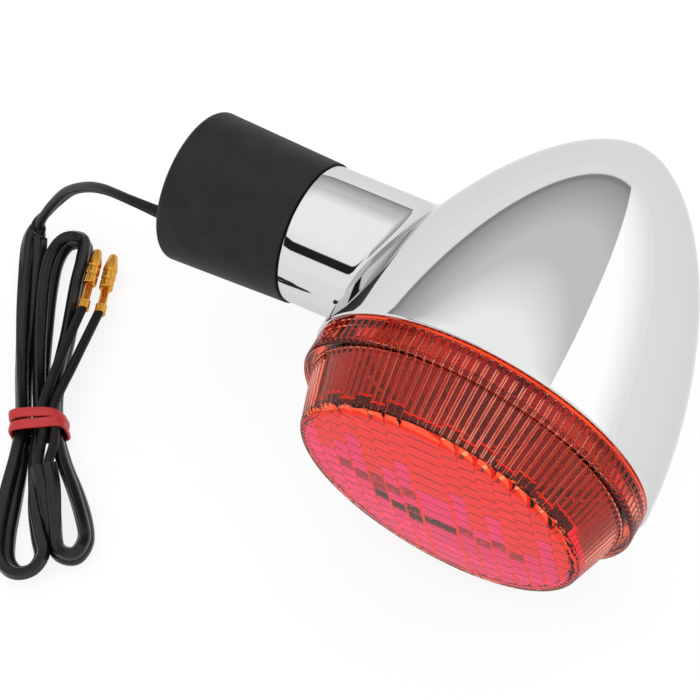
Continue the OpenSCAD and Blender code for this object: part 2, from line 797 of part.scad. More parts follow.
module bullet_connectors() {
    color([0.8, 0.55, 0.2]) {
        along(left_end, left_tip) bullet_connector();
        along(right_end, right_tip) bullet_connector();
    }
}

// One connector: an open crimp round the insulation, an open neck over the strands, and a bullet with a
// collar, a bead between two grooves and a blunt cone
module bullet_connector() {
    low_z = neck_h + collar_h;
    high_z = connector_len - cone_h - waist_cut;
    union() {
        difference() {
            ring(crimp_r, wire_r + seat, -grip_h, neck_h + seat);
            translate([0, -over - crimp_r, seat]) cube([2 * crimp_r, 2 * (over + crimp_r), neck_h + over]);
            translate([0, -crimp_t, -grip_h - over]) cube([2 * crimp_r, 2 * crimp_t, grip_h + 2 * over]);
        }
        rotate_extrude() polygon(concat(
            [[0, neck_h], [bullet_r, neck_h]],
            [for (z = [low_z, high_z]) each
                [[bullet_r, z - waist_cut], [bullet_r - waist_cut, z], [bullet_r, z + waist_cut]]],
            [[bullet_r - tip_inset, connector_len], [0, connector_len]]
        ));
    }
}

// Rubber band wound twice round the hank
module rubber_band() {
    color("firebrick")
    translate(tie_at) rotate([90, 0, tie_turn + 90])
        for (turn = [-1, 1])
            translate([0, 0, turn * (band_turn_w + tie_room) / 2 - band_turn_w / 2])
                linear_extrude(height = band_turn_w) difference() {
                    band_outline(band_turn_t);
                    band_outline(0);
                }
}

module band_outline(grow) {
    low = -sleeve_w / 2 - tie_room;
    high = tie_high + wire_r + tie_room;
    offset(r = tie_corner + grow, $fn = 24)
        translate([-tie_half + tie_corner, low + tie_corner])
            square([2 * (tie_half - tie_corner), high - low - 2 * tie_corner]);
}

housing();
stem_tube();
stem_bolt();
stem_washer();
rubber_boot();
mount_insert();
clamp_plate();
wire_grommet();
lens();
lens_gasket();
reflector();
reflector_screws();
socket_shell();
socket_back();
contact_plunger();
contact_spring();
live_terminal();
ground_lug();
live_wire();
ground_wire();
bulb_cap();
bulb_glass();
bulb_stem();
bulb_filament();
lead_wires();
wire_sleeve();
tail_wires();
bullet_connectors();
rubber_band();
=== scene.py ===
"""Looks of a motorcycle turn signal: chrome bullet lamp, red fluted lens, rubber mount and tied lead.

All places are in the part's own frame: X runs along the stalk to the lamp, the lens faces -Y and Z is up.
Sizes in the classes are millimetres, and meshes are written in metres.
"""
from __future__ import annotations

import logging
import math
from dataclasses import dataclass, field
from enum import Enum, IntEnum
from typing import Any, Callable, Sequence

import bmesh
import bpy
import numpy as np
from mathutils import Matrix

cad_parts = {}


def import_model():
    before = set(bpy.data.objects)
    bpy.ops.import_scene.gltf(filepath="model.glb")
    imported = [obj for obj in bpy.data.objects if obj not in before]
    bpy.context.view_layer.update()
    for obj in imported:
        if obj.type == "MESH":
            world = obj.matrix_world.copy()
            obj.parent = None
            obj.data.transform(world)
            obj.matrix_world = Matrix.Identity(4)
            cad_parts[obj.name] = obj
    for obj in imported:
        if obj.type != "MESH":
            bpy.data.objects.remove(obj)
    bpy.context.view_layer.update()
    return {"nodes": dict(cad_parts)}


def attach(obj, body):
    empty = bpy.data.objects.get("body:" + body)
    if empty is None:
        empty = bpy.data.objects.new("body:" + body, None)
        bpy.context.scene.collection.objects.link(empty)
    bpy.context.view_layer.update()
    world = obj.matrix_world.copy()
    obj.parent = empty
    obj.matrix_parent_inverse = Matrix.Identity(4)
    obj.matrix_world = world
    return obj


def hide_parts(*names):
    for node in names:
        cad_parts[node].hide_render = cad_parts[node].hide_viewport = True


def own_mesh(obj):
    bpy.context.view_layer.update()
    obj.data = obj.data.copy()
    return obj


log = logging.getLogger("turn_signal")

MM = 0.001
# Points closer than this, in metres, are one, and faces narrower than the second are dropped
SAME_POINT = 1e-7
NARROW_FACE = 1e-8
WHITE = "#ffffff"
Array = np.ndarray
Nodes = bpy.types.NodeTree


class Body(Enum):
    """The bodies of the part that pieces ride on."""

    LAMP = "lamp"
    LENS = "lens"


class Red(IntEnum):
    """The kinds of surface on the lens, in the order of its material slots; many of them carry painted
    highlights or painted shade.
    """

    SKIN = 0
    ORANGE_HIGHLIGHT = 1
    PAINTED_SHADE = 2
    BAND = 3
    FACE = 4
    PRISM = 5
    PAINTED_WARM_LIGHT = 6
    PAINTED_HALF_SHADE = 7
    BLOCK_END_SHADE = 8
    EDGE_HIGHLIGHT = 9


def linear(hex_colour: str) -> tuple[float, float, float, float]:
    """Turn an sRGB hex colour into a linear one with full alpha.

    Args:
        hex_colour: six hex digits, with or without a leading hash.

    Returns:
        Linear red, green, blue and an alpha of 1.
    """
    digits = hex_colour.lstrip("#")
    srgb = np.array([int(digits[i : i + 2], 16) for i in (0, 2, 4)]) / 255
    values = np.where(srgb <= 0.04045, srgb / 12.92, ((srgb + 0.055) / 1.055) ** 2.4)
    return (*(float(v) for v in values), 1.0)


def add_node(tree: Nodes, kind: str, links: dict[Any, Any] | None = None, **settings: Any) -> bpy.types.Node:
    """Add a shader node, set its properties and sockets, and link its inputs.

    Args:
        tree: the node tree that gets the node.
        kind: Blender's type name of the node.
        links: input name or number to an output socket, or to a plain value.
        settings: properties of the node itself.

    Returns:
        The new node.
    """
    node = tree.nodes.new(kind)
    for name, value in settings.items():
        setattr(node, name, value)
    for name, value in (links or {}).items():
        socket = node.inputs[name]
        if isinstance(value, bpy.types.NodeSocket):
            tree.links.new(value, socket)
        else:
            socket.default_value = value
    return node


def blank_material(name: str) -> tuple[bpy.types.Material, Nodes]:
    """Make a material with no nodes.

    Args:
        name: the material's name.

    Returns:
        The material and its node tree.
    """
    material = bpy.data.materials.new(name)
    material.use_nodes = True
    material.node_tree.nodes.clear()
    return material, material.node_tree


def unit(vectors: Array) -> Array:
    """Make each row of an array, or one vector, one long."""
    return vectors / np.linalg.norm(vectors, axis=-1, keepdims=True)


@dataclass(frozen=True)
class Finish:
    """One material: what it is made of, its colour and how its surface was made.

    The second colour comes in soft patches. The grain is a noise of a real size in millimetres that varies
    the roughness and, as a bump, the surface. The edge colour tints a metal that is seen at a low angle. The
    plain share of a clear finish only bends the light that enters, which leaves less of the room on its skin.
    """

    name: str
    colour: str
    roughness: float
    metallic: float = 0.0
    ior: float = 1.5
    transmission: float = 0.0
    second_colour: str = ""
    patch_mm: float = 12.0
    grain_mm: float = 0.6
    grain_height_mm: float = 0.0
    rough_spread: float = 0.08
    specular: float = 0.5
    edge_colour: str = WHITE
    plain_share: float = 0.0
    patch_detail: float = 3.0
    grain_detail: float = 4.0

    def build(self) -> bpy.types.Material:
        """Make the Blender material, with its colour patches, roughness and bump.

        Returns:
            The new material.
        """
        material, tree = blank_material(self.name)
        place = add_node(tree, "ShaderNodeTexCoord").outputs["Object"]
        grain = self.noise(tree, place, self.grain_mm, self.grain_detail)
        shader = add_node(tree, "ShaderNodeBsdfPrincipled", {
            "Metallic": self.metallic,
            "Transmission Weight": self.transmission,
            "Specular IOR Level": self.specular,
            "Specular Tint": linear(self.edge_colour),
        })
        if not self.metallic:
            shader.inputs["IOR"].default_value = self.ior
        shader.inputs["Base Color"].default_value = linear(self.colour)
        if self.second_colour:
            patch = self.noise(tree, place, self.patch_mm, self.patch_detail)
            tint = add_node(tree, "ShaderNodeMix", {
                "Factor": patch, "A": linear(self.colour), "B": linear(self.second_colour),
            }, data_type="RGBA")
            tree.links.new(tint.outputs["Result"], shader.inputs["Base Color"])
        low = max(self.roughness - self.rough_spread, 0.0)
        high = min(self.roughness + self.rough_spread, 1.0)
        rough = add_node(tree, "ShaderNodeMapRange", {"Value": grain, "To Min": low, "To Max": high})
        tree.links.new(rough.outputs[0], shader.inputs["Roughness"])
        if self.grain_height_mm:
            bump = add_node(tree, "ShaderNodeBump", {
                "Height": grain, "Distance": self.grain_height_mm * MM, "Strength": 1.0,
            })
            tree.links.new(bump.outputs[0], shader.inputs["Normal"])
        surface = shader.outputs[0]
        if self.plain_share:
            behind = add_node(tree, "ShaderNodeNewGeometry").outputs["Backfacing"]
            share = add_node(tree, "ShaderNodeMapRange", {
                "Value": behind, "To Min": self.plain_share, "To Max": 0.0,
            })
            # Light takes the root of a clear finish's colour each time it passes the surface
            root = tuple(value**0.5 for value in linear(self.colour))
            bend = add_node(tree, "ShaderNodeBsdfRefraction", {
                "Color": root, "IOR": self.ior, "Roughness": self.roughness,
            })
            surface = add_node(tree, "ShaderNodeMixShader", {
                0: share.outputs[0], 1: shader.outputs[0], 2: bend.outputs[0],
            }).outputs[0]
        add_node(tree, "ShaderNodeOutputMaterial", {"Surface": surface})
        return material

    @staticmethod
    def noise(tree: Nodes, place: bpy.types.NodeSocket, size_mm: float,
              detail: float) -> bpy.types.NodeSocket:
        """Add a noise whose features are about size_mm across.

        Args:
            tree: the node tree that gets the noise.
            place: the coordinates that it reads, in metres.
            size_mm: the size of a feature.
            detail: octaves of finer noise.

        Returns:
            The noise's factor socket.
        """
        scale = 1 / (size_mm * MM)
        texture = add_node(tree, "ShaderNodeTexNoise", {"Vector": place, "Scale": scale, "Detail": detail})
        return texture.outputs["Fac"]


def clear_red(name: str, colour: str, plain_share: float = 0.0) -> Finish:
    """A surface of the red acrylic that lets light through.

    Args:
        name: the surface's name.
        colour: what it leaves of white light.
        plain_share: the share that only bends the light.

    Returns:
        The finish.
    """
    return Finish(f"red_acrylic_{name}", colour, 0.015, ior=1.49, transmission=1.0, rough_spread=0.01,
                  grain_mm=4.0, plain_share=plain_share)


def mirror_red(name: str, colour: str, metallic: float) -> Finish:
    """A surface of the red acrylic that sends part of the light back from inside, as a prism does.

    Args:
        name: the surface's name.
        colour: what it leaves of white light.
        metallic: the share that it sends back.

    Returns:
        The finish.
    """
    return Finish(f"red_acrylic_{name}", colour, 0.05, metallic=metallic, transmission=1.0, rough_spread=0.02,
                  grain_mm=4.0)


class Finishes:
    """Every finish on the lamp, built once and shared."""

    # Bright chrome plate on a polished casting: a neutral mirror with a little polishing haze
    CHROME = Finish("bright_chrome_plate", "#d9d9d9", 0.03, metallic=1.0, rough_spread=0.012, patch_mm=30,
                    second_colour="#d5d5d6", grain_mm=3.0, edge_colour="#ececec")
    # Moulded rubber: almost black, matt, with a fine eroded texture from its mould
    RUBBER = Finish("moulded_black_rubber", "#060606", 0.62, ior=1.52, second_colour="#262626", patch_mm=6,
                    grain_mm=0.5, grain_height_mm=0.03, specular=0.28)
    # Injection-moulded red acrylic. Its polished skin is clear, and light and shade are painted into the
    # kinds of surface behind it:
    # painted orange highlights on the ribs, painted shade where a flat, a step or a block end looks into the
    # housing, painted highlights on edges, and bright pink or coral on the prisms, which send the light back
    # as mirrors do, with painted warm light above
    REDS: dict[Red, Finish] = {
        Red.SKIN: clear_red("skin", "#ff957c", 0.65),
        Red.ORANGE_HIGHLIGHT: clear_red("rib", "#ff8938", 0.65),
        Red.PAINTED_SHADE: clear_red("flat", "#8c2721"),
        Red.BAND: clear_red("band", "#e23c32"),
        Red.FACE: clear_red("face", "#ffc1cb", 0.65),
        Red.PRISM: mirror_red("prism", "#ff5290", 0.74),
        Red.PAINTED_WARM_LIGHT: mirror_red("painted_warm_prism", "#ff4f46", 0.72),
        Red.PAINTED_HALF_SHADE: mirror_red("painted_shade_dim_prism", "#e8485c", 0.28),
        Red.BLOCK_END_SHADE: clear_red("block_end", "#3c100c"),
        Red.EDGE_HIGHLIGHT: mirror_red("edge", "#ff4a24", 0.8),
    }
    # Vacuum-metallised plastic: a soft bright mirror
    MIRROR = Finish("metallised_reflector", "#f6f6f4", 0.12, metallic=1.0, rough_spread=0.04, grain_mm=2.0)
    # Zinc-plated steel: pale grey with a faint blue patchiness
    ZINC = Finish("zinc_plated_steel", "#b9bcc0", 0.34, metallic=1.0, second_colour="#a9adb4", patch_mm=3)
    # Nickel-plated brass: a warm pale metal
    NICKEL = Finish("nickel_plate", "#cfc8bc", 0.24, metallic=1.0, second_colour="#c2baab", patch_mm=4)
    # Pressed phenolic board: brown, dull, with fibres
    PHENOLIC = Finish("phenolic_board", "#4a2d1c", 0.55, second_colour="#5c3a24", patch_mm=1.5, grain_mm=0.4,
                      grain_height_mm=0.02)
    # Stamped brass: golden, slightly dulled by handling
    BRASS = Finish("stamped_brass", "#dda347", 0.24, metallic=1.0, second_colour="#cd8f3a", patch_mm=2.5)
    # Drawn copper strands: orange and bright
    COPPER = Finish("copper_strand", "#d67a3c", 0.3, metallic=1.0, second_colour="#b9602b", patch_mm=0.8)
    # Extruded wire insulation: black, smooth and slightly waxy
    INSULATION = Finish("wire_insulation", "#121213", 0.42, second_colour="#19191a", patch_mm=6, grain_mm=0.8,
                        specular=0.18)
    # Extruded flat sleeving: black and softly glossy, with faint drawing marks
    SLEEVE = Finish("flat_sleeving", "#0f0f0f", 0.26, specular=0.32, second_colour="#161616", patch_mm=8,
                    grain_mm=1.2, grain_height_mm=0.02)
    # Blown bulb glass: clear and colourless, with hard small highlights
    GLASS = Finish("clear_bulb_glass", "#f6f8f8", 0.01, ior=1.47, transmission=1.0, rough_spread=0.005)
    # Drawn tungsten and its nickel supports: a dull dark grey wire
    TUNGSTEN = Finish("tungsten_wire", "#6c6c6e", 0.4, metallic=1.0)
    # Natural rubber band: red, soft and matt, with paler patches
    BAND = Finish("red_rubber_band", "#ae1518", 0.42, second_colour="#c8262b", patch_mm=2.2, grain_mm=0.5,
                  grain_height_mm=0.05)

    def __init__(self) -> None:
        """Start with no material built."""
        self._built: dict[str, bpy.types.Material] = {}

    def get(self, finish: Finish) -> bpy.types.Material:
        """Return the finish's material, building it the first time.

        Args:
            finish: the finish that is wanted.

        Returns:
            Its material.
        """
        if finish.name not in self._built:
            self._built[finish.name] = finish.build()
        return self._built[finish.name]


class Shapes:
    """Grids of points turned into meshes."""

    @staticmethod
    def faces(rows: int, columns: int, wrap_rows: bool, wrap_columns: bool, start: int = 0) -> Array:
        """Number the quads of a grid of points.

        Args:
            rows: points along the first parameter.
            columns: points along the second parameter.
            wrap_rows: whether the last row joins the first.
            wrap_columns: whether the last column joins the first.
            start: number of the grid's first point.

        Returns:
            An array of four point numbers for each quad.
        """
        i = np.arange(rows if wrap_rows else rows - 1)[:, None]
        j = np.arange(columns if wrap_columns else columns - 1)[None, :]
        i_next, j_next = (i + 1) % rows, (j + 1) % columns
        corners = [i * columns + j, i * columns + j_next, i_next * columns + j_next, i_next * columns + j]
        return start + np.stack(corners, axis=-1).reshape(-1, 4)

    @staticmethod
    def piece(name: str, points: Array, faces: Sequence[Any], smooth_deg: float = 40.0) -> bpy.types.Object:
        """Make one closed mesh object from points in millimetres.

        Args:
            name: the object's name.
            points: an array of places.
            faces: the faces' point numbers.
            smooth_deg: edges sharper than this stay crisp.

        Returns:
            The new object, with merged poles and outward faces.
        """
        mesh = bpy.data.meshes.new(name)
        mesh.from_pydata((points.reshape(-1, 3) * MM).tolist(), [], [list(map(int, f)) for f in faces])
        work = bmesh.new()
        work.from_mesh(mesh)
        bmesh.ops.remove_doubles(work, verts=work.verts, dist=SAME_POINT)
        bmesh.ops.dissolve_degenerate(work, edges=work.edges, dist=NARROW_FACE)
        bmesh.ops.recalc_face_normals(work, faces=work.faces)
        work.to_mesh(mesh)
        work.free()
        mesh.polygons.foreach_set("use_smooth", np.ones(len(mesh.polygons), bool))
        mesh.set_sharp_from_angle(angle=math.radians(smooth_deg))
        thing = bpy.data.objects.new(name, mesh)
        bpy.context.scene.collection.objects.link(thing)
        return thing

    @staticmethod
    def turned(outline: Array, steps: int, lamp_x: float) -> tuple[Array, Array]:
        """Turn a closed outline of (radius, place in front) round the lamp's axis.

        A point at angle t is (radius cos t, radius sin t) across the axis, at its place along it.

        Args:
            outline: the closed outline, one row for each point.
            steps: points round the axis.
            lamp_x: where the lamp's axis crosses X.

        Returns:
            The points, as a grid, and its faces.
        """
        angle = np.linspace(0, 2 * math.pi, steps, endpoint=False)[None, :]
        radius, front = outline[:, :1], outline[:, 1:2]
        x, z = lamp_x + radius * np.cos(angle), radius * np.sin(angle)
        points = np.stack([x, np.broadcast_to(-front, x.shape), z], axis=-1)
        return points, Shapes.faces(len(outline), steps, True, True)

    @staticmethod
    def zip_rings(first_angle: Array, first: Array, second_angle: Array, second: Array) -> Array:
        """Join two rings with triangles.

        In order of angle, each point joins the one before it on its ring and the last one on the other.

        Args:
            first_angle: angles of the first ring's points, rising.
            first: their numbers.
            second_angle: angles of the second ring's points, rising.
            second: their numbers.

        Returns:
            Three point numbers for each triangle.
        """
        order = np.argsort(np.concatenate([first_angle, second_angle]), kind="stable")
        is_first = order < len(first)
        a, b = np.cumsum(is_first) - 1, np.cumsum(~is_first) - 1
        with_first = np.column_stack([first[a - 1], first[a], second[b]])
        with_second = np.column_stack([second[b], second[b - 1], first[a]])
        return np.where(is_first[:, None], with_first, with_second)

    @staticmethod
    def arc(centre: tuple[float, float], radius: float, start_deg: float, end_deg: float,
            steps: int) -> Array:
        """Points on an arc: the centre plus the radius times (cos, sin).

        Args:
            centre: the arc's middle.
            radius: its radius.
            start_deg: where it starts.
            end_deg: where it ends.
            steps: how many points it has.

        Returns:
            The points, both ends among them.
        """
        angle = np.radians(np.linspace(start_deg, end_deg, steps))
        return np.column_stack([centre[0] + radius * np.cos(angle), centre[1] + radius * np.sin(angle)])


class Route:
    """A smooth line through given points, with a direction for a flat section's width."""

    def __init__(self, points: Sequence[Sequence[float]], step_mm: float = 0.8, fewest: int = 3) -> None:
        """Work out a Catmull-Rom curve through the points.

        Args:
            points: x, y, z in millimetres, and the tilt of the width from upright in degrees.
            step_mm: about how far apart the curve's own points are.
            fewest: how many of them each stretch has at least.
        """
        knots = np.array([list(p) + [0.0] * (4 - len(p)) for p in points], float)
        ends = np.vstack([2 * knots[:1] - knots[1:2], knots, 2 * knots[-1:] - knots[-2:-1]])
        pieces = []
        for a, b, c, d in zip(ends[:-3], ends[1:-2], ends[2:-1], ends[3:]):
            count = max(int(np.linalg.norm(c[:3] - b[:3]) / step_mm), fewest)
            t = np.linspace(0, 1, count, endpoint=False)[:, None]
            pieces.append(0.5 * (2 * b + (c - a) * t + (2 * a - 5 * b + 4 * c - d) * t**2
                                 + (3 * b - a - 3 * c + d) * t**3))
        line = np.vstack([*pieces, knots[-1:]])
        self.points = line[:, :3]
        self.tilt = np.radians(line[:, 3])

    @staticmethod
    def directions(line: Array) -> tuple[Array, Array, Array]:
        """Work out a line's own directions at each point.

        Args:
            line: its points.

        Returns:
            The heading, the way up across it, and the level way across it.
        """
        heading = unit(np.gradient(line, axis=0))
        upright = unit(np.array([0.0, 0.0, 1.0]) - heading[:, 2:3] * heading)
        return heading, upright, np.cross(heading, upright)

    def frame(self) -> tuple[Array, Array]:
        """Give a flat section's directions at each point.

        Returns:
            The width, which is upright and then leaned over by the tilt, and the thickness.
        """
        heading, upright, level = self.directions(self.points)
        tilt = self.tilt[:, None]
        width = np.cos(tilt) * upright + np.sin(tilt) * level
        return width, np.cross(heading, width)

    def aside(self, distance: float) -> Array:
        """The curve's points moved along the width by a distance."""
        return self.points + distance * self.frame()[0]


def tube(path: Array, width_dir: Array, thick_dir: Array, section: Array) -> Array:
    """Carry a section along a path: each ring is the path's point plus the section in its two directions.

    Args:
        path: the ring centres.
        width_dir: the section's first direction at each.
        thick_dir: the section's second direction at each.
        section: points of the section, as (across, through).

    Returns:
        A grid of points, one row for each ring.
    """
    return (path[:, None, :] + section[None, :, :1] * width_dir[:, None, :]
            + section[None, :, 1:2] * thick_dir[:, None, :])


def flat_section(wide: float, thick: float, steps: int = 24, power: float = 3.0) -> Array:
    """A rounded flat section: a superellipse with half axes wide/2 and thick/2.

    Args:
        wide: whole width.
        thick: whole thickness.
        steps: points round it.
        power: 2 is an ellipse, and more is squarer.

    Returns:
        The section's points.
    """
    angle = np.linspace(0, 2 * math.pi, steps, endpoint=False)
    c, s = np.cos(angle), np.sin(angle)
    return np.column_stack([wide / 2 * np.sign(c) * np.abs(c) ** (2 / power),
                            thick / 2 * np.sign(s) * np.abs(s) ** (2 / power)])


def capped_tube(rings: Array, start: int = 0) -> list[list[int]]:
    """Faces of a tube of rings, with a cap on each end.

    Args:
        rings: the grid of points.
        start: number of its first point.

    Returns:
        The faces' point numbers.
    """
    rows, columns = rings.shape[:2]
    faces = Shapes.faces(rows, columns, False, True, start).tolist()
    first = list(range(start, start + columns))
    last = list(range(start + (rows - 1) * columns, start + rows * columns))
    return faces + [first[::-1], last]


@dataclass(frozen=True)
class Panel:
    """A soft rectangular light: its place, the way to it, its size, its lean and how bright it looks."""

    name: str
    place: tuple[float, float, float]
    way: tuple[float, float, float]
    size: tuple[float, float]
    lean: float
    low: float
    high: float
    rise: float = 150.0

    def build(self) -> None:
        """Hang a glowing sheet across its way, dimmer towards the floor, which the camera doesn't see."""
        back = unit(np.array(self.way))
        side = unit(np.cross([0.0, 0.0, 1.0], back))
        rise = np.cross(back, side)
        lean = math.radians(self.lean)
        wide = self.size[0] / 2 * (math.cos(lean) * side + math.sin(lean) * rise)
        tall = self.size[1] / 2 * (math.cos(lean) * rise - math.sin(lean) * side)
        corners = np.array([self.place - wide - tall, self.place + wide - tall,
                            self.place + wide + tall, self.place - wide + tall])
        mesh = bpy.data.meshes.new(self.name)
        mesh.from_pydata((corners * MM).tolist(), [], [(0, 1, 2, 3)])
        sheet = bpy.data.objects.new(self.name, mesh)
        sheet.visible_camera = False
        bpy.context.scene.collection.objects.link(sheet)
        material, tree = blank_material(self.name)
        spot = add_node(tree, "ShaderNodeTexCoord").outputs["Object"]
        height = add_node(tree, "ShaderNodeSeparateXYZ", {0: spot}).outputs[2]
        glow = add_node(tree, "ShaderNodeMapRange", {
            "Value": height, "From Min": 0.0, "From Max": self.rise * MM,
            "To Min": self.low, "To Max": self.high,
        }).outputs[0]
        light = add_node(tree, "ShaderNodeEmission", {"Color": linear(WHITE), "Strength": glow})
        add_node(tree, "ShaderNodeOutputMaterial", {"Surface": light.outputs[0]})
        mesh.materials.append(material)


@dataclass(frozen=True)
class Studio:
    """How bright the studio looks in each direction, for a polished surface to reflect.

    Heights are the upward part of a direction, from 0 at the horizon to 1 overhead.
    """

    floor: float = 1.05
    seam: float = 0.3
    wall_low: float = 0.4
    wall_high: float = 0.75
    ceiling: float = 1.18
    front: float = 1.08
    flag: float = 0.02
    wall_full: float = 0.36
    ceiling_from: float = 0.58
    ceiling_full: float = 0.8
    seam_turn: float = 1.4
    seam_rise: float = 0.24
    flag_low: float = 0.4
    flag_high: float = 0.62
    flag_side: float = -0.12
    flag_end: float = -0.8
    edge: float = 0.02

    def build(self) -> None:
        """Make the world: a grey back wall, a bright ceiling, a pale front with one black flag.

        The camera sees plain white, directly and through clear pieces.
        """
        world = bpy.data.worlds.new("studio")
        bpy.context.scene.world = world
        world.use_nodes = True
        tree = world.node_tree
        tree.nodes.clear()
        way = add_node(tree, "ShaderNodeTexCoord").outputs["Generated"]
        x, y, z = add_node(tree, "ShaderNodeSeparateXYZ", {0: way}).outputs

        def step(value: bpy.types.NodeSocket, low: float, high: float,
                 start: Any = 0.0, end: Any = 1.0) -> bpy.types.NodeSocket:
            """Go from start to end as the value passes from low to high."""
            links = {"Value": value, "From Min": low, "From Max": high, "To Min": start, "To Max": end}
            return add_node(tree, "ShaderNodeMapRange", links).outputs[0]

        def sums(operation: str, first: Any, second: Any) -> bpy.types.NodeSocket:
            """Combine two values."""
            return add_node(tree, "ShaderNodeMath", {0: first, 1: second}, operation=operation).outputs[0]

        turn = sums("ARCTAN2", y, x)
        past = sums("MAXIMUM", sums("SUBTRACT", turn, self.seam_turn), 0.0)
        height = sums("SUBTRACT", z, sums("MULTIPLY", past, self.seam_rise))
        ceiling = step(z, self.ceiling_from, self.ceiling_full)
        wall = step(height, self.edge, self.wall_full, self.wall_low, self.wall_high)
        wall = step(ceiling, 0.0, 1.0, wall, self.ceiling)
        wall = step(height, 0.0, 2 * self.edge, self.seam, wall)
        back = step(height, -2 * self.edge, -self.edge, self.floor, wall)
        front = step(ceiling, 0.0, 1.0, self.front, self.ceiling)
        inside = sums("MULTIPLY", step(z, self.flag_low, self.flag_low + self.edge),
                      step(z, self.flag_high, self.flag_high - self.edge))
        inside = sums("MULTIPLY", inside, step(x, self.flag_side, self.flag_side - self.edge))
        inside = sums("MULTIPLY", inside, step(x, self.flag_end, self.flag_end + self.edge))
        front = step(inside, 0.0, 1.0, front, self.flag)
        seen = step(y, self.edge, -self.edge, back, front)
        path = add_node(tree, "ShaderNodeLightPath").outputs
        direct = sums("MAXIMUM", path["Is Camera Ray"], path["Is Transmission Ray"])
        strength = step(direct, 0.0, 1.0, seen, 1.0)
        sky = add_node(tree, "ShaderNodeBackground", {"Color": linear(WHITE), "Strength": strength})
        add_node(tree, "ShaderNodeOutputWorld", {"Surface": sky.outputs[0]})


@dataclass
class Stage:
    """The pale floor, the studio, the soft light and the camera."""

    floor_z: float = -38.7
    floor_half: float = 1400.0
    aim: tuple[float, float, float] = (50.7, -21.3, 0.0)
    distance: float = 622.3
    azimuth: float = 45.06
    elevation: float = 59.77
    roll: float = -17.49
    lens_mm: float = 154.3
    sensor_mm: float = 36.0
    floor_colour: str = "#f7f7f7"
    floor_white: float = 0.8
    floor_through: float = 0.35
    floor_glow: float = 1.05
    clip_m: tuple[float, float] = (0.01, 20.0)
    panels: tuple[Panel, ...] = (
        Panel("soft_right", place=(488.5, 323.5, -30.6), way=(400.0, 280.0, 104.0), size=(698.0, 1000.0),
              lean=58.5, low=1.1, high=1.45),
    )

    def camera_axes(self) -> tuple[Array, Array, Array]:
        """Work out the camera's right, up and back from azimuth, elevation and roll.

        Returns:
            Three unit vectors.
        """
        a, e, r = (math.radians(v) for v in (self.azimuth, self.elevation, self.roll))
        back = np.array([math.sin(a) * math.cos(e), -math.cos(a) * math.cos(e), math.sin(e)])
        right = np.array([math.cos(a), math.sin(a), 0.0])
        up = np.cross(back, right)
        return math.cos(r) * right + math.sin(r) * up, math.cos(r) * up - math.sin(r) * right, back

    def make_camera(self) -> None:
        """Place the camera at the photograph's viewing angle."""
        right, up, back = self.camera_axes()
        data = bpy.data.cameras.new("camera")
        data.lens = self.lens_mm
        data.sensor_width = self.sensor_mm
        data.clip_start, data.clip_end = self.clip_m
        camera = bpy.data.objects.new("camera", data)
        bpy.context.scene.collection.objects.link(camera)
        matrix = np.eye(4)
        matrix[:3, 0], matrix[:3, 1], matrix[:3, 2] = right, up, back
        matrix[:3, 3] = (np.array(self.aim) + self.distance * back) * MM
        camera.matrix_world = Matrix(matrix.tolist())
        bpy.context.scene.camera = camera

    def make_floor(self) -> None:
        """Lay a large pale floor under the lamp's lowest point, which the camera sees as almost white."""
        half, z = self.floor_half * MM, self.floor_z * MM
        mesh = bpy.data.meshes.new("floor")
        mesh.from_pydata([(-half, -half, z), (half, -half, z), (half, half, z), (-half, half, z)], [],
                         [(0, 1, 2, 3)])
        floor = bpy.data.objects.new("floor", mesh)
        bpy.context.scene.collection.objects.link(floor)
        material, tree = blank_material("pale_floor")
        path = add_node(tree, "ShaderNodeLightPath").outputs
        shown = add_node(tree, "ShaderNodeMath", {0: path["Is Camera Ray"], 1: path["Is Glossy Ray"]},
                         operation="MAXIMUM").outputs[0]
        matt = add_node(tree, "ShaderNodeBsdfDiffuse", {"Color": linear(self.floor_colour)})
        white = add_node(tree, "ShaderNodeEmission", {"Color": linear(WHITE), "Strength": self.floor_glow})
        through = add_node(tree, "ShaderNodeMath", {0: path["Is Transmission Ray"], 1: self.floor_through},
                           operation="MULTIPLY").outputs[0]
        share = add_node(tree, "ShaderNodeMath", {0: shown, 1: self.floor_white, 2: through},
                         operation="MULTIPLY_ADD").outputs[0]
        mixed = add_node(tree, "ShaderNodeMixShader", {0: share, 1: matt.outputs[0], 2: white.outputs[0]})
        add_node(tree, "ShaderNodeOutputMaterial", {"Surface": mixed.outputs[0]})
        mesh.materials.append(material)

    def build(self) -> None:
        """Make the camera, floor, studio and light, and set the plain view transform."""
        bpy.context.scene.view_settings.view_transform = "Standard"
        self.make_camera()
        self.make_floor()
        Studio().build()
        for panel in self.panels:
            panel.build()


